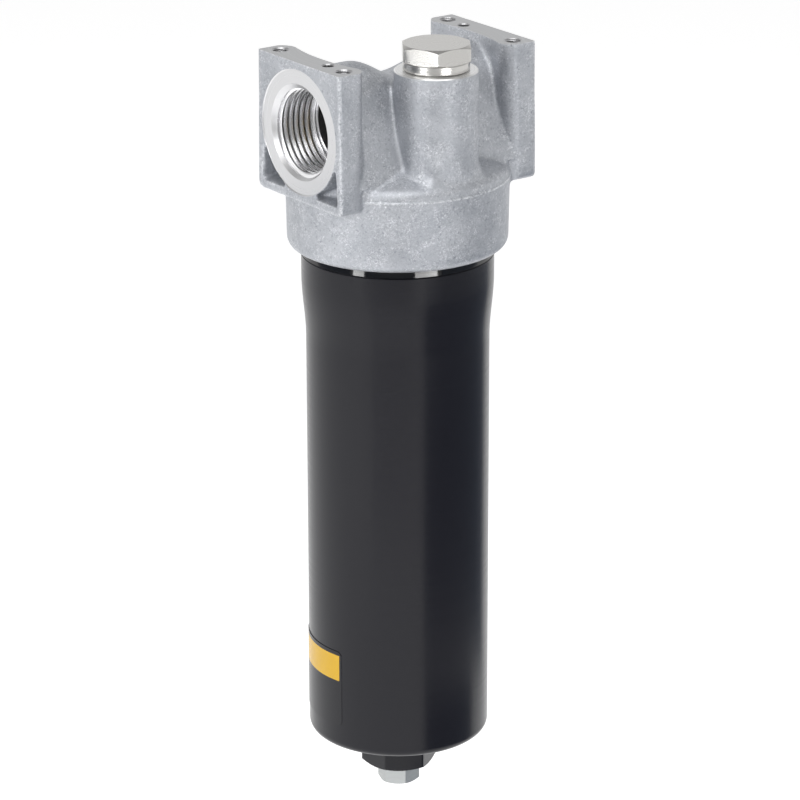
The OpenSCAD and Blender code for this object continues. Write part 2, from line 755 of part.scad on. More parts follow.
module element_bottom_cap() {
    low_z = pleat_foot_z - cap_t;
    color("silver")
    rotate_extrude()
        polygon([[0, pleat_foot_z], [cap_r - 0.7, pleat_foot_z],
            [cap_r - 0.7, pleat_foot_z + cap_rim_h], [cap_r, pleat_foot_z + cap_rim_h],
            [cap_r, low_z], [foot_r, low_z], [foot_r, low_z - foot_h],
            [foot_r - foot_wall, low_z - foot_h], [foot_r - foot_wall, low_z], [0, low_z]]);
}

// Core tube, with rows of holes turned half a pitch from row to row
module element_core_tube() {
    row_h = pleat_l / core_rows;
    color("lightsteelblue")
    translate([0, 0, pleat_foot_z])
        difference() {
            cylinder(r = core_r, h = pleat_l);
            translate([0, 0, -1]) cylinder(r = core_r - core_wall, h = pleat_l + 2);
            for (row = [0:core_rows - 1]) for (column = [0:core_columns - 1])
                rotate([0, 0, 360 / core_columns * (column + (row % 2) / 2)])
                    translate([core_r - core_wall - 1, 0, row_h * (row + 0.5)]) rotate([0, 90, 0])
                        cylinder(r = core_hole_r, h = core_wall + 2, $fn = 24);
        }
}

// Pleated medium: one folded sheet, its folds drawn as the star that they make
module element_pleats() {
    pitch = 360 / pleat_count;
    star = [for (i = [0:pleat_count - 1]) each [
        [pleat_r, (i - pleat_tip) * pitch], [pleat_r, (i + pleat_tip) * pitch],
        [pleat_root_r, (i + 0.5 - pleat_tip / 2) * pitch],
        [pleat_root_r, (i + 0.5 + pleat_tip / 2) * pitch]]];
    color("wheat")
    translate([0, 0, pleat_foot_z]) linear_extrude(pleat_l)
        difference() {
            polygon([for (p = star) p[0] * [cos(p[1]), sin(p[1])]]);
            circle(core_r + core_gap);
        }
}

module element_bands() {
    color("white")
    for (i = [1:band_count])
        translate([0, 0, pleat_foot_z + pleat_l * i / (band_count + 1) - band_h / 2])
            difference() {
                cylinder(r = pleat_r + ring_gap + band_t, h = band_h);
                translate([0, 0, -1]) cylinder(r = pleat_r + ring_gap, h = band_h + 2);
            }
}

module element_o_ring() {
    color("#303030")
    translate([0, 0, ring_groove_z - ring_groove_h / 2]) rotate_extrude()
        translate([element_ring_r, 0]) circle(element_ring_t - ring_gap, $fn = 32);
}

head();
indicator_plug();
indicator_plug_seal();
bypass_seat();
bypass_poppet();
bypass_spring();
bypass_retainer();
bypass_circlip();
bowl();
bowl_o_ring();
bowl_backup_ring();
bowl_label();
drain_plug();
drain_plug_seal();
element_top_cap();
element_bottom_cap();
element_core_tube();
element_pleats();
element_bands();
element_o_ring();
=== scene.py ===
# %% [markdown]
# # A hydraulic filter, dressed for its picture
# The filter is a cast aluminium head with two flanged ports, a long black bowl that screws up into
# it, and two hexagon plugs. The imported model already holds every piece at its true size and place.
# So this lesson only dresses it: it models the visible pieces once more with cast edges, threads
# and chamfers, and gives each surface its finish. The first cell loads the frame and keeps its box,
# because the dressed filter may not grow beyond it.

# %% Load the frame
from math import cos, hypot, pi, radians, sin, sqrt, tan

import bmesh
import bpy
import numpy as np
from mathutils import Matrix, Vector


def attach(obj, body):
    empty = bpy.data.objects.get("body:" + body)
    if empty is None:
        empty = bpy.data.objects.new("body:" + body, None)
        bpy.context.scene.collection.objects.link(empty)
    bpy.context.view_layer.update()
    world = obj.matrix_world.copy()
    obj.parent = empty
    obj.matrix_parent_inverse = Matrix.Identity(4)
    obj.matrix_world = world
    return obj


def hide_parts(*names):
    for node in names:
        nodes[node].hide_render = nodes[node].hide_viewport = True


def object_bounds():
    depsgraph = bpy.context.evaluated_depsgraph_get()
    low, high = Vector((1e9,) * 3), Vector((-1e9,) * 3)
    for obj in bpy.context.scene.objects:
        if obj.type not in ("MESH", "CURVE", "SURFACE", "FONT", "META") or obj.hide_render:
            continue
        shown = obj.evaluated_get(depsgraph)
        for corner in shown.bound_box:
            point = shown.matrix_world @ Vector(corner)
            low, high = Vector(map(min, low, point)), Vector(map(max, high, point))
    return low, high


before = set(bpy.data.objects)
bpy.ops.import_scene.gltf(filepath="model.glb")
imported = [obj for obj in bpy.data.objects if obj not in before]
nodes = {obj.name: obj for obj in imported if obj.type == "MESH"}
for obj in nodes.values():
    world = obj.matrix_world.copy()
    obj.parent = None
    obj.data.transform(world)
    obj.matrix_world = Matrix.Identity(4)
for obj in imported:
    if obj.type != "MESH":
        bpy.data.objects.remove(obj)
bpy.context.view_layer.update()
cad_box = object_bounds()
MM = 0.001
print("CAD box in mm:", [[round(v / MM, 1) for v in corner] for corner in cad_box])

# %% [markdown]
# ## The camera
# A product picture like this one is taken from far away with a long lens, so that upright edges stay
# nearly parallel. The camera stands left of the front and looks down a little. Its place is worked
# out from an azimuth, an elevation and a distance, and a target point on the bowl's axis. That is
# easier to correct than three coordinates and three angles.

# %% Place the camera
camera_azimuth = radians(-36.17)
camera_elevation = radians(19.58)
camera_roll = radians(-0.103)
camera_distance = 1.4153
target_z = -0.1354
target_aside = 0.00077
picture_width_px = 800
focal_length_px = 3813.8
sensor_width = 36

to_camera = Vector((sin(camera_azimuth) * cos(camera_elevation),
                    -cos(camera_azimuth) * cos(camera_elevation), sin(camera_elevation)))
aside = Vector((cos(camera_azimuth), sin(camera_azimuth), 0))
upward = to_camera.cross(aside)
rolled_aside = cos(camera_roll) * aside + sin(camera_roll) * upward
rolled_upward = cos(camera_roll) * upward - sin(camera_roll) * aside
camera_turn = Matrix((rolled_aside, rolled_upward, to_camera)).transposed().to_euler()
target = target_aside * aside + Vector((0, 0, target_z))

bpy.ops.object.camera_add(location=target + camera_distance * to_camera, rotation=camera_turn)
camera = bpy.context.object
camera.name = "studio_camera"
camera.data.sensor_width = sensor_width
camera.data.lens = focal_length_px / picture_width_px * sensor_width
bpy.context.scene.camera = camera
print(f"lens {camera.data.lens:.0f} mm at {camera_distance:.2f} m")

# %% [markdown]
# ## Tools for the bench
# Modelling by operators means that everything selected is changed. So each helper first makes its
# own object the only one selected, and picks vertices, edges or faces by where they are. All lists
# of sizes in this file are in millimetres, and the helpers turn them into Blender's metres.

# %% Pick objects and parts of them
def done():
    """Leaves edit mode."""
    bpy.ops.object.mode_set(mode="OBJECT")


def edit_all():
    """Enters edit mode with everything selected."""
    bpy.ops.object.mode_set(mode="EDIT")
    bpy.ops.mesh.select_all(action="SELECT")


def pick(obj):
    """Makes obj the only selected and active object, in object mode."""
    if bpy.context.object and bpy.context.object.mode != "OBJECT":
        done()
    bpy.ops.object.select_all(action="DESELECT")
    obj.select_set(True)
    bpy.context.view_layer.objects.active = obj


def select(obj, kind, test):
    """Enters edit mode with those vertices, edges or faces selected whose points pass the test."""
    pick(obj)
    bpy.ops.object.mode_set(mode="EDIT")
    bpy.ops.mesh.select_mode(type=kind)
    bpy.ops.mesh.select_all(action="DESELECT")
    done()
    mesh = obj.data
    parts = {"VERT": mesh.vertices, "EDGE": mesh.edges, "FACE": mesh.polygons}[kind]
    for part in parts:
        corners = [part.index] if kind == "VERT" else part.vertices
        part.select = test([mesh.vertices[i].co / MM for i in corners])
    bpy.ops.object.mode_set(mode="EDIT")


def soften(obj, test, size, steps):
    """Bevels the edges whose two ends pass the test."""
    select(obj, "EDGE", test)
    bpy.ops.mesh.bevel(offset=size * MM, segments=steps, affect="EDGES")
    done()


def settle(obj):
    """Merges doubled points and turns every face outwards."""
    pick(obj)
    edit_all()
    bpy.ops.mesh.remove_doubles(threshold=0.0005 * MM)
    bpy.ops.mesh.normals_make_consistent(inside=False)
    done()
    return obj


def place(obj, move=(0, 0, 0), turn_y=0, turn_z=0):
    """Turns obj about the origin, moves it, and writes both into its mesh."""
    pick(obj)
    obj.rotation_euler = (0, radians(turn_y), radians(turn_z))
    obj.location = Vector(move) * MM
    bpy.ops.object.transform_apply(location=True, rotation=True, scale=True)
    return obj


def tell(obj):
    """Prints how a mesh came out: its faces, its open edges and the volume that it encloses."""
    mesh = bmesh.new()
    mesh.from_mesh(obj.data)
    loose = sum(not edge.is_manifold for edge in mesh.edges)
    volume = mesh.calc_volume(signed=True) / MM ** 3 / 1000
    print(f"{obj.name}: {len(mesh.faces)} faces, {loose} open edges, {volume:.2f} cm3")
    mesh.free()


def shade(obj, angle):
    """Shades a finished mesh smooth, apart from edges that turn more than the angle."""
    pick(obj)
    bpy.ops.object.shade_smooth_by_angle(angle=radians(angle))
    tell(obj)


print("ready to pick")

# %% [markdown]
# ## Blanks: turned, sawn and drawn
# Nearly all of this filter is turned work. A turned blank starts as one point, which is extruded
# along the profile like a pencil line and then spun round the axis. A sawn block is a cube at its
# size, and a drawn blank is an outline that is filled and pulled out to its thickness.

# %% Make blanks
def pencil_line(name, points):
    """One vertex, extruded from point to point."""
    bpy.ops.mesh.primitive_plane_add(size=MM)
    line = bpy.context.object
    line.name = name
    bpy.ops.object.mode_set(mode="EDIT")
    bpy.ops.mesh.select_mode(type="VERT")
    bpy.ops.mesh.select_all(action="SELECT")
    bpy.ops.mesh.merge(type="CENTER")
    bpy.ops.transform.translate(value=Vector(points[0]) * MM)
    for start, end in zip(points, points[1:]):
        step = (Vector(end) - Vector(start)) * MM
        bpy.ops.mesh.extrude_region_move(TRANSFORM_OT_translate={"value": step})
    return line


def turned(name, profile, steps=96):
    """A profile of (radius, height) points, spun round Z."""
    blank = pencil_line(name, [(radius, 0, height) for radius, height in profile])
    bpy.ops.mesh.select_all(action="SELECT")
    bpy.ops.mesh.spin(steps=steps, angle=2 * pi, center=(0, 0, 0), axis=(0, 0, 1))
    return settle(blank)


def sawn(name, low, high):
    """A block between two corners."""
    low, high = Vector(low) * MM, Vector(high) * MM
    bpy.ops.mesh.primitive_cube_add(size=1, location=(low + high) / 2, scale=high - low)
    block = bpy.context.object
    block.name = name
    bpy.ops.object.transform_apply(location=True, rotation=True, scale=True)
    return block


def drawn(name, outline, pull):
    """A closed outline, filled and pulled out along a vector."""
    blank = pencil_line(name, outline)
    bpy.ops.mesh.select_all(action="SELECT")
    bpy.ops.mesh.edge_face_add()
    bpy.ops.mesh.extrude_region_move(TRANSFORM_OT_translate={"value": Vector(pull) * MM})
    return settle(blank)


def arc(centre, radius, start, end, steps):
    """Points of an arc between two angles in degrees, for a profile."""
    angles = [radians(start + (end - start) * i / steps) for i in range(steps + 1)]
    return [(centre[0] + radius * cos(a), centre[1] + radius * sin(a)) for a in angles]


def rod(name, radius, low, high, steps=64):
    """A plain round rod along Z."""
    return turned(name, [(0, low), (radius, low), (radius, high), (0, high)], steps)


print("ready to turn, saw and draw")

# %% [markdown]
# ## Joining, cutting and threading
# Pieces are welded and cut with the Boolean modifier, which is applied at once. A thread is made as
# on the real filter. One tooth's outline is wound up by the Screw modifier to a threaded rod, and
# that rod is the tap: cut from a bore, it leaves a female thread. A die is a thick ring round such a
# rod, and cut from a plain shank it leaves a male thread.

# %% Join, cut and thread
def modify(obj, kind, **settings):
    """Adds a modifier with its settings and applies it."""
    pick(obj)
    step = obj.modifiers.new(kind.lower(), kind)
    for key, value in settings.items():
        setattr(step, key, value)
    bpy.ops.object.modifier_apply(modifier=step.name)


def boolean(body, tool, operation):
    """Welds or cuts with a tool, which is used up."""
    modify(body, "BOOLEAN", operation=operation, solver="MANIFOLD", material_mode="TRANSFER",
           object=tool)
    bpy.data.objects.remove(tool)
    return body


def weld(body, *others):
    """Joins pieces to a body."""
    for other in others:
        boolean(body, other, "UNION")
    return body


def cut(body, *tools):
    """Takes tools away from a body."""
    for tool in tools:
        boolean(body, tool, "DIFFERENCE")
    return body


def trim(body, tool):
    """Keeps only what lies inside the tool."""
    return boolean(body, tool, "INTERSECT")


# How steep a tooth's flanks are, and how many turns a rod is wound past its lower end. Whole turns
# would put a ring of points into the plane that cuts the rod off.
flank_steepness = 1.5
spare_turns = 2.0043


def threaded_rod(name, crest, root, pitch, low, high, steps=96, tooth_points=8):
    """A right-handed threaded rod along Z, with rounded crests and roots and flat ends."""
    middle, half = (crest + root) / 2, (crest - root) / 2
    start = -spare_turns * pitch
    length = high - low
    tooth = []
    for i in range(tooth_points + 1):
        wave = max(-1, min(1, flank_steepness * cos(2 * pi * i / tooth_points)))
        tooth.append((middle - half * wave, 0, start + pitch * i / tooth_points))
    thread = pencil_line(name, tooth)
    modify(thread, "SCREW", axis="Z", angle=2 * pi, screw_offset=pitch * MM, steps=steps,
           render_steps=steps, iterations=int(length / pitch) + 4, use_merge_vertices=True,
           merge_threshold=0.001 * MM)
    for height, side in ((0, -1), (length, 1)):
        edit_all()
        bpy.ops.mesh.bisect(plane_co=(0, 0, height * MM), plane_no=(0, 0, side),
                            use_fill=True, clear_outer=True, threshold=1e-7)
        done()
    return place(settle(thread), (0, 0, low))


def die(name, crest, root, pitch, low, high, steps=96):
    """The swarf of a male thread: all that a die takes off a shank of the crest's radius."""
    ring = rod(name, crest + 0.5, low, high, steps)
    return cut(ring, threaded_rod(name + "_core", crest, root, pitch, low - 1, high + 1, steps))


trial = threaded_rod("trial_thread", 10, 9, 1.5, 0, 12)
tell(trial)
bpy.data.objects.remove(trial)

# %% [markdown]
# ## The head: pattern for the casting
# The head is one aluminium casting. It could be modelled as one mesh with bevels, but where arches,
# flanges, boss and shoulder run into each other, no bevel follows the soft fillets of a casting. So
# it is made as a foundry makes it. First comes a pattern from simple blanks, with stock where it is
# machined later. Then it is cast: remeshed to one even skin and smoothed until its edges are soft.
# Then it is machined with crisp cuts. The flange plates come first: two pillars with a hollow back.

# %% Make one flange plate and its twin
face_x = cad_box[1].x / MM
plate_top_y = 50.3 / 2
plate_foot_y = 52.1 / 2
plate_foot_z = -51.1
plate_corner = 2.5
pillar_x, pillar_y, pillar_r = 37.35, 19.5, 6.3
hollow_x = 33.5
stock = 0.8

plate = sawn("flange_plates", (pillar_x - pillar_r, -pillar_y, plate_foot_z),
             (face_x, pillar_y, stock))
front = sawn("front", (pillar_x, -plate_foot_y, plate_foot_z), (face_x, plate_foot_y, stock))
pillars = [place(rod("pillar", pillar_r, plate_foot_z, stock), (pillar_x, side * pillar_y, 0))
           for side in (-1, 1)]
weld(plate, front, *pillars)
sag = hollow_x - (pillar_x - pillar_r)
hollow_r = (pillar_y ** 2 + sag ** 2) / (2 * sag)
cut(plate, place(rod("hollow", hollow_r, plate_foot_z - 1, stock + 1, 180),
                 (hollow_x - hollow_r, 0, 0)))

draft = sawn("draft", (0, -plate_foot_y, plate_foot_z), (face_x, plate_foot_y, stock))
select(draft, "VERT", lambda p: p[0].z > 0)
bpy.ops.transform.resize(value=(1, plate_top_y / plate_foot_y, 1))
soften(draft, lambda p: abs(p[0].x - p[1].x) > 1 and p[0].z < -50, plate_corner, 6)
trim(plate, draft)

pick(plate)
bpy.ops.object.duplicate()
twin = place(bpy.context.object, turn_z=180)
casting = weld(plate, twin)
casting.name = "head_casting"
tell(casting)

# %% [markdown]
# Each plate has two cast pockets in its face beside the port, which save metal. They taper inwards,
# as a pattern must to leave the mould. Their outline is drawn on the face, pulled in and narrowed at
# its inner end, and the round land of the port is kept out of them.

# %% Cut the cast pockets
port_z = -25.5
land_r = 22.95
pocket_depth = 8
pocket_taper = 0.86
pocket_top_z, pocket_low_z = -31.2, -47.98
pocket_corners = ((22.15, pocket_top_z), (23.45, pocket_low_z),
                  (8.65, pocket_low_z), (12.65, pocket_top_z))
for turn in (0, 180):
    for side in (-1, 1):
        outline = [(face_x + 1, side * y, z) for y, z in pocket_corners]
        pocket = drawn("pocket", outline, (-pocket_depth - 1, 0, 0))
        select(pocket, "FACE", lambda p: all(v.x < face_x for v in p))
        bpy.ops.transform.resize(value=(1, pocket_taper, pocket_taper))
        done()
        land = place(rod("land", land_r, 0, face_x + 5, 120), (0, 0, port_z), turn_y=90)
        cut(pocket, land)
        cut(casting, place(pocket, turn_z=turn))
tell(casting)

# %% [markdown]
# The two ducts are one arch with sloping flanks that dips to a saddle over the bowl's axis. A block
# with its top narrowed and its two top edges bevelled until they meet gives the arch. It is sliced
# along its length, and then the middle slice is pressed down with proportional editing, whose smooth
# falloff gives the soft saddle.

# %% Shape the ducts
crown_r, crown_z, saddle_z, saddle_l = 16.3, -3.1, -11, 20
flank_slope = radians(20)
duct_foot_z = -42.5
duct_end_x = 34.05
flank_z = crown_z - crown_r * (1 - sin(flank_slope))
arch_steps = 14
top_half = crown_r * tan((pi / 2 - flank_slope) / 2)
foot_half = top_half + (crown_z - duct_foot_z) * tan(flank_slope)

ducts = sawn("ducts", (-duct_end_x, -foot_half, duct_foot_z), (duct_end_x, foot_half, crown_z))
select(ducts, "VERT", lambda p: p[0].z > -10)
bpy.ops.transform.resize(value=(1, top_half / foot_half, 1))
nearly_all = 0.9995
soften(ducts, lambda p: abs(p[0].x - p[1].x) > 1 and p[0].z > -10, top_half * nearly_all,
       arch_steps)
settle(ducts)
slice_step = 2
for x in range(-saddle_l, saddle_l + 1, slice_step):
    edit_all()
    bpy.ops.mesh.bisect(plane_co=(x * MM, 0, 0), plane_no=(1, 0, 0))
    done()
select(ducts, "VERT", lambda p: abs(p[0].x) < 0.1 and p[0].z > flank_z - 0.1)
squeeze = (saddle_z - flank_z) / (crown_z - flank_z)
bpy.ops.transform.resize(value=(1, 1, squeeze), center_override=(0, 0, flank_z * MM),
                         use_proportional_edit=True, proportional_edit_falloff="SMOOTH",
                         proportional_size=saddle_l * MM, use_proportional_connected=False)
done()
tell(ducts)
saddle = [v.co.z / MM for v in ducts.data.vertices
          if abs(v.co.x) < 0.1 * MM and abs(v.co.y) < 2 * MM and v.co.z > -30 * MM]
print("saddle height:", round(min(saddle), 2))

# %% [markdown]
# The skirt that takes the bowl and its sloping shoulder are one turned blank. The indicator boss is
# another. The wide fillet round its foot is a third one, because it is trimmed with a cone that makes
# it narrower towards the front, where the skirt ends.

# %% Turn the skirt and the boss
skirt_r, skirt_foot_r, skirt_z, skirt_edge = 40.9, 40.5, -74, 3.6
shoulder_z, shoulder_slope, shoulder_r, shoulder_top = -47.7, 24.6, 4, -25.2
boss_y, boss_r, boss_z, boss_fillet = -23.5, 15.2, -4, 7
boss_foot_z = shoulder_z + 3.7

skirt_profile = [(0, skirt_z), (skirt_foot_r - skirt_edge, skirt_z)]
skirt_profile += arc((skirt_foot_r - skirt_edge, skirt_z + skirt_edge), skirt_edge, -90, 0, 8)[1:]
skirt_profile += [(skirt_r, shoulder_z)]
skirt_profile += arc((skirt_r - shoulder_r, shoulder_z + 1), shoulder_r, 0, 90 - shoulder_slope, 8)
skirt_profile += [(0, shoulder_top)]
skirt = turned("skirt", skirt_profile, 144)

boss = place(rod("boss", boss_r, boss_foot_z, boss_z + stock, 96), (0, boss_y, 0))
apron_profile = [(0, boss_foot_z - 4), (boss_r + boss_fillet, boss_foot_z - 4)]
apron_profile += arc((boss_r + boss_fillet, boss_foot_z + boss_fillet), boss_fillet, 270, 180, 10)
apron_profile += [(0, boss_foot_z + boss_fillet)]
apron = place(turned("apron", apron_profile, 96), (0, boss_y, 0))
cone_r, cone_top_r, cone_foot_z = skirt_r - 0.1, skirt_r - 8.8, -50
cone_z, cone_top_z = shoulder_z + 1.3, shoulder_z + 16.3
trim(apron, turned("apron_cone", [(0, cone_foot_z), (cone_r, cone_foot_z), (cone_r, cone_z),
                                  (cone_top_r, cone_top_z), (0, cone_top_z)], 144))
weld(casting, ducts, skirt, boss, apron)
tell(casting)

# %% [markdown]
# ## Casting it
# A voxel remesh melts the welded pattern into one even skin. Smoothing the whole skin a little gives
# each outer edge a small radius. The inner corners of a casting are softer than its edges, so they
# get a second, stronger smoothing of their own. They are found by the sign of the skin's curvature:
# in a hollow, the neighbours of a point lie above it.

# %% Cast the head
voxel = 0.73
edge_passes = 2
fillet_passes = 6
hollow_start, hollow_range, hollow_rings, hollow_spread = 0.015, 0.05, 4, 1.6
pocket_zone = 35.2, 24.6, -50


def skin_arrays(obj):
    """Coordinates and normals of all vertices, and the vertex pair of each edge."""
    mesh = obj.data
    points = np.empty(len(mesh.vertices) * 3)
    mesh.vertices.foreach_get("co", points)
    normals = np.empty(len(mesh.vertices) * 3)
    mesh.vertex_normals.foreach_get("vector", normals)
    pairs = np.empty(len(mesh.edges) * 2, int)
    mesh.edges.foreach_get("vertices", pairs)
    return points.reshape(-1, 3), normals.reshape(-1, 3), pairs.reshape(-1, 2)


def neighbour_mean(values, pairs):
    """Mean of each vertex's neighbours, for one number per vertex."""
    ends = np.concatenate([pairs[:, 0], pairs[:, 1]])
    others = np.concatenate([pairs[:, 1], pairs[:, 0]])
    total = np.bincount(ends, values[others], len(values))
    return total / np.maximum(np.bincount(ends, minlength=len(values)), 1)


def smooth(obj, passes, group=""):
    """Smooths a mesh, or the points of one vertex group by their weights."""
    modify(obj, "SMOOTH", factor=0.5, iterations=passes, vertex_group=group)


modify(casting, "REMESH", mode="VOXEL", voxel_size=voxel * MM)
smooth(casting, edge_passes)

points, normals, pairs = skin_arrays(casting)
lift = np.stack([neighbour_mean(points[:, k], pairs) for k in range(3)], 1) - points
bend = (lift * normals).sum(1) / (voxel * MM)
softness = np.clip((bend - hollow_start) / hollow_range, 0, 1)
for ring in range(hollow_rings):
    softness = np.maximum(softness, neighbour_mean(softness, pairs) * hollow_spread).clip(0, 1)
in_pocket = ((abs(points[:, 0]) > pocket_zone[0] * MM) & (abs(points[:, 1]) < pocket_zone[1] * MM)
             & (points[:, 2] > pocket_zone[2] * MM))
softness[in_pocket] = 0
fillets = casting.vertex_groups.new(name="fillets")
for index in np.nonzero(softness > 0.01)[0]:
    fillets.add([int(index)], float(softness[index]), "REPLACE")
smooth(casting, fillet_passes, "fillets")
casting.vertex_groups.clear()
tell(casting)

# %% [markdown]
# ## Finishes
# Each surface is made here before it is needed, because a cut face takes the finish of the tool that
# cut it. The finishes share three effects as node groups: the grain of a casting with its light
# flecks, which are painted glints, the marks of a lathe, and worn edges, which are lighter partly as
# rubbed metal and partly as a painted edge highlight. The patterns start from Object coordinates, so
# that nothing slides over a piece when it moves.

# %% Shared effects
def node(tree, kind, inputs=None, **settings):
    """Adds a node, sets its settings, and links or fills its inputs."""
    made = tree.nodes.new(kind)
    for key, value in settings.items():
        setattr(made, key, value)
    for key, value in (inputs or {}).items():
        if isinstance(value, bpy.types.NodeSocket):
            tree.links.new(value, made.inputs[key])
        else:
            made.inputs[key].default_value = value
    return made.outputs


def effect(name, inputs, outputs):
    """A new node group with named sockets, and the two ends to link to."""
    tree = bpy.data.node_groups.new(name, "ShaderNodeTree")
    for socket, kind, value in inputs:
        made = tree.interface.new_socket(socket, in_out="INPUT", socket_type=kind)
        made.default_value = value
    for socket, kind in outputs:
        tree.interface.new_socket(socket, in_out="OUTPUT", socket_type=kind)
    return tree, tree.nodes.new("NodeGroupInput").outputs, tree.nodes.new("NodeGroupOutput").inputs


def ramp(tree, value, start, end, low=0.0, high=1.0):
    """Takes a value from the range start to end into the range low to high."""
    return node(tree, "ShaderNodeMapRange", {"Value": value, "From Min": start, "From Max": end,
                                             "To Min": low, "To Max": high})["Result"]


def maths(tree, operation, first, second=0.0):
    """The result of one Math node."""
    return node(tree, "ShaderNodeMath", {0: first, 1: second}, operation=operation)[0]


def here(tree):
    """Object coordinates."""
    return node(tree, "ShaderNodeTexCoord")["Object"]


def noise(tree, vector, scale, **more):
    """Soft noise between 0 and 1."""
    return node(tree, "ShaderNodeTexNoise", {"Vector": vector, "Scale": scale, **more})[0]


FLOAT, VECTOR = "NodeSocketFloat", "NodeSocketVector"

grain, given, out = effect("casting_grain",
                           [("Patch Size", FLOAT, 0.012), ("Grain Size", FLOAT, 0.0009),
                            ("Depth", FLOAT, 0.45)],
                           [("Patches", FLOAT), ("Fine", FLOAT), ("Glint Flecks", FLOAT),
                            ("Normal", VECTOR)])
spot = here(grain)
patch_scale = maths(grain, "DIVIDE", 1.0, given["Patch Size"])
grain_scale = maths(grain, "DIVIDE", 1.0, given["Grain Size"])
cluster_scale = maths(grain, "MULTIPLY", patch_scale, 2.2)
vein_scale = maths(grain, "MULTIPLY", grain_scale, 0.5)
patches = noise(grain, spot, patch_scale, Detail=6.0, Roughness=0.62)
clusters = noise(grain, spot, cluster_scale, Detail=2.0, Distortion=0.6)
fine = noise(grain, spot, grain_scale, Detail=3.0, Roughness=0.65, Distortion=0.8)
veins = noise(grain, spot, vein_scale, Detail=3.0, Roughness=0.7, Distortion=2.2)
thin = maths(grain, "ABSOLUTE", maths(grain, "SUBTRACT", veins, 0.5))
# Painted glints: the grain's light flecks are bright specks painted into the colour.
glint_flecks = maths(grain, "MULTIPLY", ramp(grain, thin, 0.04, 0.0), ramp(grain, fine, 0.45, 0.56))
glint_flecks = maths(grain, "MULTIPLY", glint_flecks, ramp(grain, clusters, 0.4, 0.62, 0.2, 0.85))
height = maths(grain, "ADD", fine, maths(grain, "MULTIPLY", patches, 2.0))
bump = node(grain, "ShaderNodeBump", {"Strength": given["Depth"], "Distance": 0.00025,
                                      "Height": height})[0]
for name, socket in (("Patches", patches), ("Fine", fine), ("Glint Flecks", glint_flecks), ("Normal", bump)):
    grain.links.new(socket, out[name])

lathe, given, out = effect("lathe_marks",
                           [("Centre", VECTOR, (0, 0, 0)), ("Turn", VECTOR, (0, 0, 0)),
                            ("Spacing", FLOAT, 0.0003), ("Depth", FLOAT, 0.3)],
                           [("Streaks", FLOAT), ("Normal", VECTOR)])
centred = node(lathe, "ShaderNodeVectorMath", {0: here(lathe), 1: given["Centre"]},
               operation="SUBTRACT")[0]
turned_to = node(lathe, "ShaderNodeVectorRotate", {"Vector": centred, "Rotation": given["Turn"]},
                 rotation_type="EULER_XYZ")[0]
part = node(lathe, "ShaderNodeSeparateXYZ", {"Vector": turned_to})
round_r = maths(lathe, "SQRT", maths(lathe, "ADD", maths(lathe, "MULTIPLY", part["X"], part["X"]),
                                     maths(lathe, "MULTIPLY", part["Y"], part["Y"])))
lift_share = 0.83
along = maths(lathe, "ADD", round_r, maths(lathe, "MULTIPLY", part["Z"], lift_share))
along = maths(lathe, "DIVIDE", along, given["Spacing"])
streaks = node(lathe, "ShaderNodeTexNoise", {"W": along, "Scale": 0.6, "Detail": 2.0},
               noise_dimensions="1D")[0]
bump = node(lathe, "ShaderNodeBump", {"Strength": given["Depth"], "Distance": 0.00002,
                                      "Height": streaks})[0]
lathe.links.new(streaks, out["Streaks"])
lathe.links.new(bump, out["Normal"])

# Worn edges: convex edges get lighter, partly as rubbed metal and partly as a painted edge highlight.
wear_and_highlight, given, out = effect("worn_and_highlit_edges", [("Start", FLOAT, 0.53), ("Full", FLOAT, 0.6)],
                          [("Wear And Highlight", FLOAT)])
edge = node(wear_and_highlight, "ShaderNodeNewGeometry")["Pointiness"]
wear_and_highlight.links.new(ramp(wear_and_highlight, edge, given["Start"], given["Full"]), out["Wear And Highlight"])
print("effects:", [tree.name for tree in bpy.data.node_groups])

# %% [markdown]
# A finish is a Principled shader with constants on its own sockets, and effects linked only where
# the surface varies. Colours are linear values.

# %% Finishes
def finish(name, colour, metallic=0.0, roughness=0.5, **more):
    """A new material, its tree and its shader."""
    made = bpy.data.materials.new(name)
    made.use_nodes = True
    shader = made.node_tree.nodes["Principled BSDF"]
    shader.inputs["Base Color"].default_value = (*colour, 1)
    shader.inputs["Metallic"].default_value = metallic
    shader.inputs["Roughness"].default_value = roughness
    for key, value in more.items():
        shader.inputs[key.replace("_", " ")].default_value = value
    return made, made.node_tree, shader


def shared(tree, group, **values):
    """Puts a shared effect into a material, with its values."""
    made = tree.nodes.new("ShaderNodeGroup")
    made.node_tree = group
    for key, value in values.items():
        made.inputs[key.replace("_", " ")].default_value = value
    return made.outputs


def mixed(tree, share, first, second):
    """A colour between two colours or colour sockets."""
    made = tree.nodes.new("ShaderNodeMix")
    made.data_type = "RGBA"
    for name, value in (("Factor", share), ("A", first), ("B", second)):
        socket = [s for s in made.inputs if s.name == name and s.enabled][0]
        if isinstance(value, bpy.types.NodeSocket):
            tree.links.new(value, socket)
        else:
            socket.default_value = value
    return [s for s in made.outputs if s.enabled][0]


def between(tree, value, low, high):
    """1 where a value lies between two limits, else 0."""
    return maths(tree, "MULTIPLY", maths(tree, "GREATER_THAN", value, low - 1e-6),
                 maths(tree, "LESS_THAN", value, high))


def hazy_finish(name, colour, metallic, roughness, scale, low, high):
    """A finish whose roughness drifts between two values."""
    made, tree, shader = finish(name, colour, metallic, roughness)
    haze = noise(tree, here(tree), scale)
    tree.links.new(ramp(tree, haze, 0.3, 0.7, low, high), shader.inputs["Roughness"])
    return made


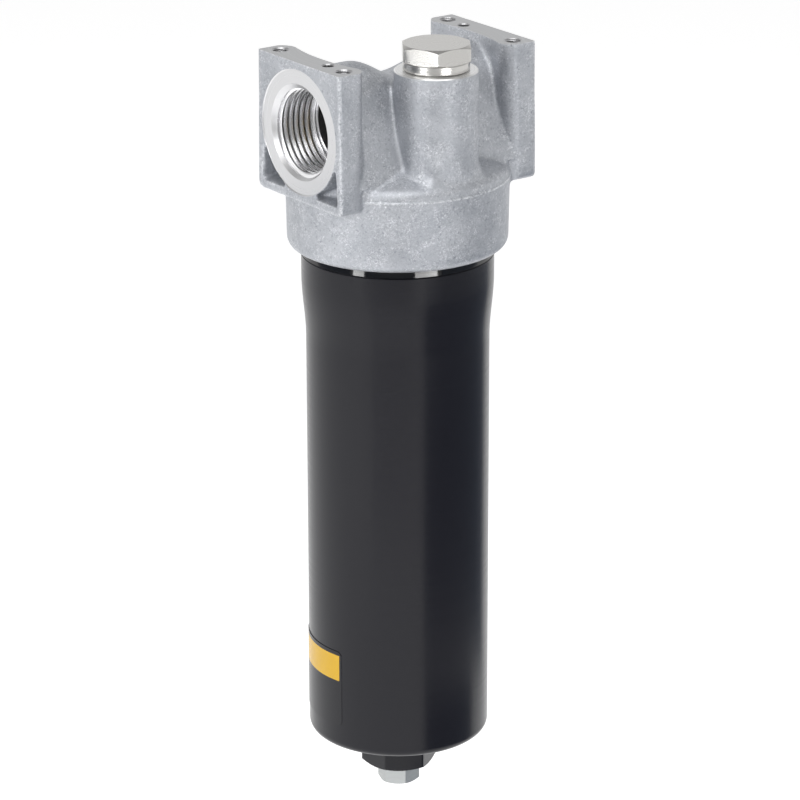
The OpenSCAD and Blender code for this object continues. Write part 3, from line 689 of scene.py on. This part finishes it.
def turned_finish(name, colour, roughness, centre=(0, 0, 0), turn=(0, 0, 0), spacing=0.3, depth=0.3,
                  metallic=1.0, spread=0.08):
    """Turned metal: rings round an axis in its roughness and its normal."""
    made, tree, shader = finish(name, colour, metallic, roughness)
    marks = shared(tree, lathe, Centre=Vector(centre) * MM, Turn=turn, Spacing=spacing * MM,
                   Depth=depth)
    tree.links.new(ramp(tree, marks["Streaks"], 0.2, 0.8, roughness - spread, roughness + spread),
                   shader.inputs["Roughness"])
    tree.links.new(marks["Normal"], shader.inputs["Normal"])
    return made


cast, tree, shader = finish("cast_aluminium", (0.42, 0.435, 0.46), 0.75, 0.5)
skin = shared(tree, grain)
worn_and_highlit = shared(tree, wear_and_highlight, Start=0.515, Full=0.56)
dull, clear, pit_shade = (0.36, 0.375, 0.405, 1), (0.465, 0.48, 0.51, 1), (0.15, 0.16, 0.18, 1)
glint_white, worn_bare_and_highlight = (0.95, 0.96, 0.98, 1), (0.86, 0.87, 0.89, 1)
tone = mixed(tree, ramp(tree, skin["Patches"], 0.34, 0.66), dull, clear)
# Painted shade: the low spots of the fine grain, which the bump sinks as pits, are darkened in the
# colour.
tone = mixed(tree, ramp(tree, skin["Fine"], 0.42, 0.3, 0.0, 0.5), tone, pit_shade)
# Painted glints: near-white flecks are mixed into the base colour.
tone = mixed(tree, skin["Glint Flecks"], tone, glint_white)
# Lighter metal on convex edges and shoulders: partly rubbing wear, partly a painted highlight.
rubbed_and_highlit = maths(tree, "MULTIPLY", worn_and_highlit["Wear And Highlight"], ramp(tree, skin["Fine"], 0.38, 0.62, 0.0, 0.7))
tone = mixed(tree, rubbed_and_highlit, tone, worn_bare_and_highlight)
tree.links.new(tone, shader.inputs["Base Color"])
tree.links.new(ramp(tree, skin["Patches"], 0.3, 0.7, 0.42, 0.58), shader.inputs["Roughness"])
tree.links.new(skin["Normal"], shader.inputs["Normal"])

round_port = {"centre": (0, 0, port_z), "turn": (0, radians(90), 0)}
round_boss = {"centre": (0, boss_y, 0)}
milled = turned_finish("milled_aluminium", (0.56, 0.565, 0.575), 0.4, spacing=0.5, depth=0.2)
port_cut = turned_finish("turned_port", (0.68, 0.68, 0.69), 0.32, depth=0.15, **round_port)
thread_cut = turned_finish("cut_thread", (0.92, 0.92, 0.93), 0.26, depth=0.1, **round_port)
boss_cut = turned_finish("turned_boss", (0.80, 0.80, 0.80), 0.28, **round_boss)
seat_cut = turned_finish("turned_seat", (0.7, 0.7, 0.7), 0.3)
hole_finish = turned_finish("tapped_hole", (0.5, 0.5, 0.51), 0.35)
# Painted shade: the cored passages are painted nearly black for the shade deep inside the ports.
passage_shade = finish("cored_passage_shade", (0.05, 0.05, 0.055), 0.3, 0.7)[0]
plated_plug = turned_finish("plated_steel", (0.58, 0.57, 0.55), 0.26, spacing=0.5, depth=0.02,
                            spread=0.02, **round_boss)
plated_drain = turned_finish("plated_drain", (0.44, 0.455, 0.455), 0.48, spacing=0.5, depth=0.15)
bright = turned_finish("bright_steel", (0.78, 0.78, 0.77), 0.22, depth=0.2)
gloss = turned_finish("gloss_black_band", (0.004, 0.004, 0.005), 0.08, depth=0.03, metallic=0.0,
                      spread=0.02)
valve_steel = turned_finish("valve_steel", (0.70, 0.71, 0.73), 0.25, **round_port)
valve_brass = turned_finish("valve_brass", (0.36, 0.26, 0.11), 0.4, **round_port)
rubber = hazy_finish("rubber", (0.02, 0.02, 0.02), 0.0, 0.6, 500.0, 0.5, 0.68)
wire = hazy_finish("spring_steel", (0.32, 0.33, 0.35), 1.0, 0.3, 700.0, 0.24, 0.36)
white = hazy_finish("white_plastic", (0.78, 0.77, 0.72), 0.0, 0.45, 400.0, 0.4, 0.52)

paint, tree, shader = finish("black_paint", (0.006, 0.006, 0.0095), 0.0, 0.24,
                             Specular_IOR_Level=0.3)
marks = shared(tree, lathe, Spacing=0.0007, Depth=0.06)
dust = noise(tree, here(tree), 900.0, Detail=2.0)
tree.links.new(ramp(tree, marks["Streaks"], 0.2, 0.8, 0.21, 0.27), shader.inputs["Roughness"])
peel = node(tree, "ShaderNodeBump", {"Strength": 0.05, "Distance": 0.00003, "Height": dust,
                                     "Normal": marks["Normal"]})[0]
tree.links.new(peel, shader.inputs["Normal"])

zinc, tree, shader = finish("zinc_sheet", (0.66, 0.67, 0.69), 1.0, 0.35)
spangle = node(tree, "ShaderNodeTexVoronoi", {"Vector": here(tree), "Scale": 350.0})
tree.links.new(ramp(tree, spangle["Distance"], 0.0, 0.8, 0.26, 0.42), shader.inputs["Roughness"])

medium, tree, shader = finish("filter_medium", (0.74, 0.69, 0.55), 0.0, 0.85)
mesh_marks = node(tree, "ShaderNodeTexBrick",
                  {"Vector": here(tree), "Scale": 500.0, "Mortar Size": 0.12,
                   "Color1": (0.76, 0.71, 0.57, 1), "Color2": (0.72, 0.67, 0.53, 1),
                   "Mortar": (0.5, 0.48, 0.42, 1)})[0]
tree.links.new(mesh_marks, shader.inputs["Base Color"])

# The yellow field lies between two heights and two bearings. Bearings jump from 180 to -180 degrees
# inside it, so it is joined from two ranges.
black, yellow = (0.007, 0.007, 0.01), (0.58, 0.345, 0.018)
field_low_z, field_high_z = -237.7, -227.5
field_start, field_end = 131.6, 193.4
film, tree, shader = finish("label_film", black, 0.0, 0.26, Specular_IOR_Level=0.34)
spot = node(tree, "ShaderNodeSeparateXYZ", {"Vector": here(tree)})
bearing = maths(tree, "ARCTAN2", spot["Y"], spot["X"])
round_mask = maths(tree, "MAXIMUM", between(tree, bearing, radians(field_start), radians(180)),
                   between(tree, bearing, radians(-180), radians(field_end - 360)))
height_mask = between(tree, spot["Z"], field_low_z * MM, field_high_z * MM)
field = maths(tree, "MULTIPLY", height_mask, round_mask)
tree.links.new(mixed(tree, field, (*black, 1), (*yellow, 1)), shader.inputs["Base Color"])
print(len(bpy.data.materials), "materials")

# %% [markdown]
# ## Machining the head
# The casting is clamped and machined. Each tool carries its finish, and every face that it cuts
# takes that finish over. First the tops of the plates are milled flat, then the boss is faced and
# the ports are turned: a ring for the fitting's seal, a chamfered mouth and a tapped thread.

# %% Face and mill
def coated(obj, *finishes):
    """Gives a piece or a tool its finish."""
    obj.data.materials.clear()
    for made in finishes:
        obj.data.materials.append(made)
    return obj


boss_face_r, boss_chamfer, tool_end_z = 14.8, 1.2, 3
coated(casting, cast)
cut(casting, coated(sawn("mill", (-60, -40, 0), (60, 40, 6)), milled))
facing = turned("facing", [
    (0, boss_z), (boss_face_r, boss_z), (boss_face_r + boss_chamfer, boss_z - boss_chamfer),
    (boss_face_r + boss_chamfer, tool_end_z), (0, tool_end_z)])
cut(casting, coated(place(facing, (0, boss_y, 0)), boss_cut))
tell(casting)

# %% Turn the ports
port_r, port_major, port_pitch = 15.15, 16.62, 2.309
port_end_x, tool_end_x, ring_r, ring_x, mouth_r = 25.5, 46, 22.65, 43.1, 17.6
for side in (1, -1):
    drill = rod("drill", port_r, port_end_x, tool_end_x, 144)
    tap = threaded_rod("tap", port_major, port_r - 0.05, port_pitch, port_end_x, tool_end_x, 96)
    mouth_x = ring_x - mouth_r + port_r - 0.5
    mouth = turned("mouth", [
        (0, mouth_x), (port_r - 0.5, mouth_x), (mouth_r, ring_x), (ring_r - 0.1, ring_x),
        (ring_r + 0.4, face_x + 0.1), (ring_r + 0.4, tool_end_x), (0, tool_end_x)], 144)
    for tool, made in ((drill, thread_cut), (tap, thread_cut), (mouth, port_cut)):
        cut(casting, place(coated(tool, made), (0, 0, port_z), turn_y=90 * side))
tell(casting)

# %% [markdown]
# The mounting holes and the boss are drilled, countersunk and tapped. The two locating holes stay
# plain. The oil passages come last: in from the left port and down a curved slot round the element's
# spigot, up through the spigot and out to the right, with a small bypass valve between the two.

# %% Drill and tap the holes
drill_tip = 0.6


def tapped_hole(made, minor, major, pitch, depth, lip, steps=24, points=5):
    """Tools for a tapped hole down from z = 0: a countersunk drill and a tap."""
    drill = turned("drill", [
        (0, -depth - drill_tip * minor), (minor, -depth), (minor, -lip - major + minor),
        (major + lip, 0), (major + lip + 1, 1), (0, 1)], steps)
    tap = threaded_rod("tap", major, minor - 0.05, pitch, -depth + pitch, 1, steps, points)
    return coated(drill, made), coated(tap, made)


plug_pitch = 1.5
mount_hole = {"minor": 2.5, "major": 3.06, "pitch": 1, "depth": 14, "lip": 0.25}
plug_hole = {"minor": 9.19, "major": 10.05, "pitch": plug_pitch, "depth": 14, "lip": 0.3}
dowel_r, dowel_depth, dowel_x, dowel_y = 2.1, 6.5, pillar_x - 0.4, 9.25
for turn in (0, 180):
    for side in (-1, 1):
        for tool in tapped_hole(hole_finish, **mount_hole):
            cut(casting, place(place(tool, (pillar_x, side * pillar_y, 0)), turn_z=turn))
    dowel = turned("dowel", [
        (0, -dowel_depth - 1.3), (dowel_r, -dowel_depth), (dowel_r, -0.4),
        (dowel_r + 0.5, 0.1), (dowel_r + 0.5, 1), (0, 1)], 32)
    cut(casting, place(place(coated(dowel, hole_finish), (dowel_x, dowel_y, 0)), turn_z=turn))
for tool in tapped_hole(boss_cut, **plug_hole, steps=48, points=6):
    cut(casting, place(tool, (0, boss_y, boss_z)))
tell(casting)

# %% Bore the seat and the passages
spigot_r, spigot_z, spigot_chamfer, ceiling_z, seal_r = 12.5, -64, 0.8, -50, 33.68
seat_r, seat_mouth_r, seat_end_z = 35.5, 36.4, -76
bowl_pitch, bowl_tap_r = 2, 36.7
seat_outline = [
    (0, spigot_z), (spigot_r - spigot_chamfer, spigot_z), (spigot_r, spigot_z + spigot_chamfer),
    (spigot_r, ceiling_z), (seal_r, ceiling_z), (seal_r, -58), (seat_r, -59), (seat_r, -73.1),
    (seat_mouth_r, skirt_z), (seat_mouth_r, seat_end_z), (0, seat_end_z)]
bowl_tap = threaded_rod("bowl_tap", bowl_tap_r, seat_r - 0.05, bowl_pitch, -73.6, -58.6, 120, 6)
cut(bowl_tap, rod("core", seat_r - 0.5, -80, -50, 144))
cut(casting, coated(turned("seat", seat_outline, 144), seat_cut), coated(bowl_tap, seat_cut))


def cross_rod(name, radius, low_x, high_x, steps=64):
    """A round rod along X on the axis of the ports."""
    made = rod(name, radius, low_x, high_x, steps)
    return coated(place(made, (0, 0, port_z), turn_y=90), passage_shade)


def slanted_rod(name, radius, start, end):
    """A round rod between two points."""
    start, end = Vector(start) * MM, Vector(end) * MM
    turn = (end - start).to_track_quat("Z", "Y").to_euler()
    bpy.ops.mesh.primitive_cylinder_add(radius=radius * MM, depth=(end - start).length,
                                        vertices=24, location=(start + end) / 2, rotation=turn)
    made = bpy.context.object
    made.name = name
    bpy.ops.object.transform_apply(location=True, rotation=True, scale=True)
    return coated(made, passage_shade)


slot_in_r, slot_out_r, slot_start, slot_end = 16.5, 26, 142, 218
drilling_r, drilling_y, drilling_z = 1.75, boss_y + 2, -16
slot_rim = arc((0, 0), slot_in_r, slot_start, slot_end, 20)
slot_rim += arc((0, 0), slot_out_r, slot_end, slot_start, 24)
slot_outline = [(x, y, ceiling_z - 0.5) for x, y in slot_rim]
slot = coated(drawn("slot", slot_outline + slot_outline[:1], (0, 0, ceiling_z / -2)), passage_shade)
cut(casting, cross_rod("inlet", 13.5, -26.5, -15), slot, cross_rod("outlet", 12.5, -7, 26.5),
    coated(rod("spigot", 9.5, -65, port_z), passage_shade), cross_rod("valve_seat", 7, -16, -6),
    cross_rod("clip_groove", 13.42, 13.25, 14.35),
    slanted_rod("outlet_drilling", drilling_r, (5, drilling_y, drilling_z), (5, 0, port_z)),
    slanted_rod("inlet_drilling", drilling_r, (-5, drilling_y, drilling_z), (-21, -5, port_z)))
tell(casting)

# %% [markdown]
# A casting has a rough line where the two halves of its mould met. Here it runs round the skirt's
# widest line. It is a thin ring with a sharp rim, made ragged by a displacement with a cloud
# texture, and then welded on.

# %% Add the mould's parting line
parting_in_r, parting_r, parting_steps = 40.2, 41.2, 360
rag_size, rag_depth = 1.2, 0.5
parting = turned("parting", [
    (parting_in_r, shoulder_z - 0.3), (parting_r, shoulder_z - 0.15),
    (parting_r - 0.05, shoulder_z + 0.45), (parting_in_r, shoulder_z + 1.6),
    (parting_in_r, shoulder_z - 0.3)], parting_steps)
rough = bpy.data.textures.new("ragged", "CLOUDS")
rough.noise_scale = rag_size * MM
modify(parting, "DISPLACE", texture=rough, strength=rag_depth * MM, mid_level=0.5)
weld(casting, coated(settle(parting), cast))
casting.name = "head_visual"
shade(casting, 32)

# %% [markdown]
# ## The bowl
# The bowl is turned from one profile: from the middle of its floor up the inner wall, over the rim
# with its seal groove, and down the outside. The neck tapers to the body in a soft S. A hexagon for
# the spanner is welded below it. Then its thread is cut with a die, and the drain hole is drilled and
# tapped through the hexagon.

# %% Turn the bowl
bowl_r, neck_r, bore_r, rim_r, groove_r = 33.85, 35.4, 28.6, 33.6, 30.8
bowl_z, floor_z, rim_z, hex_z = -266, -260, -50.3, -281
groove_top_z, groove_low_z, thread_top_z, thread_low_z = -52.3, -57.3, -58.3, -73.7
bare_z, paint_z, taper_z, taper_l, taper_steps = -73.6, -77.1, -86, 23, 12
inner_foot_r, outer_foot_r = 4, 3.4


def taper_r(t):
    """Radius of the neck on its way down to the body, in a soft S for t from 0 to 1."""
    return bowl_r + (neck_r - bowl_r) * (1 - t * t * (3 - 2 * t))


profile = [(0, floor_z)]
profile += arc((bore_r - inner_foot_r, floor_z + inner_foot_r), inner_foot_r, 270, 360, 8)
profile += [
    (bore_r, rim_z - 0.6), (bore_r + 0.6, rim_z), (rim_r - 0.8, rim_z), (rim_r, rim_z - 0.8),
    (rim_r, groove_top_z), (groove_r, groove_top_z), (groove_r, groove_low_z),
    (rim_r, groove_low_z), (rim_r, thread_top_z), (neck_r - 1.2, thread_top_z),
    (neck_r, thread_top_z - 1.5), (neck_r, thread_low_z), (neck_r - 0.25, thread_low_z - 0.3),
    (neck_r, paint_z + 0.3), (neck_r - 0.3, paint_z), (neck_r, paint_z - 0.3)]
profile += [(taper_r(i / taper_steps), taper_z - taper_l * i / taper_steps)
            for i in range(taper_steps + 1)]
profile += arc((bowl_r - outer_foot_r, bowl_z + outer_foot_r), outer_foot_r, 0, -90, 8)
profile += [(0, bowl_z)]
bowl = turned("bowl_visual", profile, 192)


cone_share, cone_slope = 0.985, radians(25)


def hexagon(name, across, low, high, turn, edge, high_cone=False):
    """A hexagon with soft upright edges, its corners turned to a cone below, or at both ends."""
    corner_r = across / sqrt(3)
    angles = [radians(turn + 60 * i) for i in range(6)]
    corners = [(corner_r * cos(a), corner_r * sin(a), low) for a in angles]
    made = drawn(name, corners + corners[:1], (0, 0, high - low))
    soften(made, lambda p: abs(p[0].z - p[1].z) > 1, edge, 3)
    flat_r, out_r = across / 2 * cone_share, corner_r + 1
    slope = (out_r - flat_r) * tan(cone_slope)
    ends = [(0, low), (flat_r, low), (out_r, low + slope)]
    if high_cone:
        ends += [(out_r, high - slope), (flat_r, high), (0, high)]
    else:
        ends += [(out_r, high + 1), (0, high + 1)]
    return trim(made, turned("cone", ends, 144))


bowl_hex, bowl_hex_turn = 25, 34
bowl_root_r = 34.25
drain_pitch, drain_minor, drain_major, drain_mouth_r = 0.907, 4.28, 4.86, 5.9
weld(bowl, hexagon("bowl_hexagon", bowl_hex, hex_z, bowl_z + 1, bowl_hex_turn, 0.5))
cut(bowl, die("bowl_die", neck_r + 0.04, bowl_root_r, bowl_pitch, -73.5, -58.2, 144))
drain_mouth = turned("drain_mouth", [
    (0, hex_z - 1), (drain_mouth_r, hex_z - 1), (drain_minor, hex_z + 0.6),
    (drain_minor, floor_z + 1), (0, floor_z + 1)], 48)
cut(bowl, drain_mouth, threaded_rod("drain_tap", drain_major, drain_minor - 0.04, drain_pitch,
                                    hex_z - 1, floor_z + 1, 48, 6))
coated(bowl, bright, paint, gloss)
outside_r, drain_rim_r = 29.5, 5.2


def painted(points):
    """The outside below the thread, and all below the bowl but the drain hole."""
    return all(v.z < bare_z and hypot(v.x, v.y) > outside_r
               or v.z < bowl_z + 1e-3 and hypot(v.x, v.y) > drain_rim_r for v in points)


def glossy(points):
    """The band between the thread and the small groove below it."""
    return all(paint_z - 0.02 < v.z < bare_z and hypot(v.x, v.y) > outside_r for v in points)


for slot_index, test in ((1, painted), (2, glossy)):
    select(bowl, "FACE", test)
    bowl.active_material_index = slot_index
    bpy.ops.object.material_slot_assign()
shade(bowl, 30)

# %% [markdown]
# ## The two plugs
# The indicator plug has a collar that hides its seal, and a hexagon with cones at both ends. The
# drain plug is smaller and has its cone only below. Both get their thread from the same die helper.

# %% Turn the plugs
plug_r, plug_l, plug_root_r = 9.09, 12, 8.15
seal_recess_r, seal_t, collar_r, collar_t, collar_edge = 11, 1.15, 12, 3.6, 0.4
plug_hex, plug_top_z, plug_turn = 24, 9.6, 56
plug = turned("indicator_plug_visual", [
    (0, -plug_l), (plug_r - 1, -plug_l), (plug_r, 1 - plug_l), (plug_r, seal_t),
    (seal_recess_r, seal_t), (seal_recess_r, 0), (collar_r - collar_edge, 0),
    (collar_r, collar_edge), (collar_r, collar_t - collar_edge), (collar_r - collar_edge, collar_t),
    (0, collar_t)], 120)
weld(plug, hexagon("plug_hexagon", plug_hex, collar_t - 0.15, plug_top_z, plug_turn, 0.3,
                   high_cone=True))
cut(plug, die("plug_die", plug_r + 0.04, plug_root_r, plug_pitch, -plug_l - 0.5, -1, 72))
shade(place(coated(plug, plated_plug), (0, boss_y, boss_z + 0.05)), 18)

drain_z, drain_hex, drain_hex_h, drain_turn = -282.1, 14, 6.8, 13
stud_r, stud_l, stud_root_r = 4.2, 10, 3.65
drain = hexagon("drain_plug_visual", drain_hex, drain_z - drain_hex_h, drain_z, drain_turn, 0.2)
stud = turned("stud", [
    (0, drain_z - 3), (stud_r, drain_z - 3), (stud_r, drain_z + stud_l - 0.6),
    (stud_r - 0.6, drain_z + stud_l), (0, drain_z + stud_l)], 48)
cut(stud, die("drain_die", stud_r + 0.04, stud_root_r, drain_pitch, drain_z + 1.2,
              drain_z + stud_l + 0.5, 48))
shade(coated(weld(drain, stud), plated_drain), 18)

# %% [markdown]
# ## The label
# The label is a thin film round a part of the bowl. A thin turned sleeve is trimmed with a block
# that has rounded corners and points at the label's middle. Its finish keeps the yellow field bare.

# %% Wrap the label
label_low, label_high, label_mid, label_wrap, label_corner_r = -256, -226, 162.5, 65, 2
film_in, film_out = bowl_r + 0.02, bowl_r + 0.22
sleeve = turned("bowl_label_visual", [
    (film_in, label_low), (film_out, label_low), (film_out, label_high), (film_in, label_high),
    (film_in, label_low)], 288)
half_chord = film_out * sin(radians(label_wrap / 2))
stencil = sawn("stencil", (5, -half_chord, label_low), (60, half_chord, label_high))
soften(stencil, lambda p: abs(p[0].x - p[1].x) > 1, label_corner_r, 6)
label = coated(trim(sleeve, place(stencil, turn_z=label_mid)), film)
shade(label, 30)

# %% [markdown]
# ## Bodies and the hidden pieces
# Every new piece rides on the body of the CAD node that it stands in for, so that it moves with the
# filter's joints. The seals, the valve and the filter element hide inside, so their CAD nodes stay
# and only get their finishes.

# %% Let each piece ride
for piece, body, cad_node, slot_name in (
        (casting, "head", "head", "cast_aluminium"), (bowl, "bowl", "bowl", "black_paint"),
        (plug, "indicator_plug", "indicator_plug", "plated_steel"),
        (drain, "drain_plug", "drain_plug", "plated_steel"),
        (label, "bowl", "bowl_label", "label_film")):
    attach(piece, body)
    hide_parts(cad_node)

kept = {rubber: ("indicator_plug_seal", "bowl_o_ring", "drain_plug_seal", "element_o_ring"),
        white: ("bowl_backup_ring", "element_bands"), medium: ("element_pleats",),
        zinc: ("element_top_cap", "element_bottom_cap", "element_core_tube"),
        valve_brass: ("bypass_seat",), valve_steel: ("bypass_poppet", "bypass_retainer"),
        wire: ("bypass_spring", "bypass_circlip")}
for made, names in kept.items():
    for name in names:
        coated(nodes[name], made)
print("kept CAD nodes:", sum(len(names) for names in kept.values()))

# %% [markdown]
# ## The studio
# The filter hangs in the air by its mounting holes, so the pale floor lies well below it. The sky is
# white near the horizon and grey overhead. That is why upright walls look bright and the tops of the
# plates don't. The floor shines a little, so that it is as white as the sky, and fades towards the
# camera, where only the bowl reflects it. Cards that show in reflections alone draw the rest: dark
# ones give the bowl its dark stripe and darken its neck, and a grey one keeps the middle of it soft.
# Two low strips of light put the bright patches on the glossy band.

# %% Light the filter
scene = bpy.context.scene
scene.view_settings.view_transform = "Standard"

world = bpy.data.worlds.new("studio_sky")
scene.world = world
world.use_nodes = True
sky = world.node_tree
direction = node(sky, "ShaderNodeTexCoord")["Generated"]
sky_height = node(sky, "ShaderNodeSeparateXYZ", {"Vector": direction})["Z"]
horizon_tone, zenith_tone, front_share = 0.98, 0.38, 0.6
sky_tone = ramp(sky, sky_height, 0.15, 0.75, horizon_tone, zenith_tone)
sky_front = node(sky, "ShaderNodeVectorMath", {0: direction, 1: to_camera},
                 operation="DOT_PRODUCT")["Value"]
sky_tone = maths(sky, "MULTIPLY", sky_tone, ramp(sky, sky_front, 0.2, 0.95, 1.0, front_share))
sky.links.new(sky_tone, sky.nodes["Background"].inputs["Color"])
sky.nodes["Background"].inputs["Strength"].default_value = 1.0

floor_depth, floor_size = 0.42, 24
floor_white, floor_grey, floor_glow, front_light = 0.78, 0.05, 0.53, 0.45
bpy.ops.mesh.primitive_plane_add(size=floor_size, location=(0, 0, -floor_depth))
floor = bpy.context.object
floor.name = "studio_floor"
bpy.ops.object.transform_apply(location=True)
pale, tree, shader = finish("studio_pale", (0.93, 0.93, 0.93), 0.0, 0.9)
ahead = node(tree, "ShaderNodeVectorMath", {0: here(tree), 1: (to_camera.x, to_camera.y, 0)},
             operation="DOT_PRODUCT")["Value"]
lit = ramp(tree, ahead, 0.4, 1.7, 1.0, front_light)
tree.links.new(mixed(tree, lit, (*[floor_grey] * 3, 1), (*[floor_white] * 3, 1)),
               shader.inputs["Base Color"])
tree.links.new(mixed(tree, lit, (0, 0, 0, 1), (1, 1, 1, 1)), shader.inputs["Emission Color"])
shader.inputs["Emission Strength"].default_value = floor_glow
floor.data.materials.append(pale)


def soft_box(name, turn_right, elevation, distance, width, tall, power):
    """A lamp at an angle to the camera's right, aimed at the middle of the filter."""
    bearing, height = camera_azimuth + radians(turn_right), radians(elevation)
    away = Vector((sin(bearing) * cos(height), -cos(bearing) * cos(height), sin(height)))
    bpy.ops.object.light_add(type="AREA", location=target + distance * away,
                             rotation=away.to_track_quat("Z", "Y").to_euler())
    lamp = bpy.context.object
    lamp.name = name
    lamp.data.shape = "RECTANGLE"
    lamp.data.size, lamp.data.size_y = width, tall
    lamp.data.energy = power


soft_box("left_box", -64, 22, 1.5, 0.6, 0.9, 4)
soft_box("front_box", -30, 25, 1.7, 0.6, 0.5, 2.5)
soft_box("key_box", -15, 52, 1.7, 1.0, 0.9, 8)
soft_box("right_box", 62, 22, 1.8, 0.7, 1.4, 1.2)
soft_box("top_box", 10, 75, 1.8, 1.4, 1.4, 10)
soft_box("low_strip_right", 33, -5, 0.9, 0.42, 0.04, 0.8)
soft_box("low_strip_left", -42, -5, 0.9, 0.32, 0.04, 0.5)


def flag(name, start, end, low, high, distance, tone):
    """A card bent round the filter between two angles and two heights, seen only in reflections."""
    bearings = [camera_azimuth + radians(a) for a in np.linspace(start, end, 13)]
    points = [Vector((distance * sin(b), -distance * cos(b), low)) for b in bearings]
    card = pencil_line(name, [point / MM for point in points])
    bpy.ops.mesh.select_all(action="SELECT")
    bpy.ops.mesh.extrude_region_move(TRANSFORM_OT_translate={"value": (0, 0, high - low)})
    done()
    card.data.materials.append(tone)
    card.visible_camera = card.visible_diffuse = card.visible_shadow = False


# The grey card glows a little: a painted light that shows only in the bowl's reflection.
grey_card = finish("card_grey", (0.8, 0.8, 0.83), 0.0, 0.9, Emission_Strength=0.4)[0]
dark_card = finish("card_dark", (0.16, 0.19, 0.24), 0.0, 0.9)[0]
flag_low, strip_low, strip_high, near = -0.418, -0.112, -0.097, 0.2
flag("dark_flag", 32, 134, flag_low, -0.19, 0.4, dark_card)
flag("dark_flag_low", 32, 104, flag_low, -0.33, near, dark_card)
flag("grey_flag", -30, 32, -0.32, -0.2185, 0.35, grey_card)
for name, start, end in (("dark_strip", -36, 18), ("dark_strip_right", 48, 100),
                         ("dark_strip_left", -100, -52)):
    flag(name, start, end, strip_low, strip_high, near, dark_card)
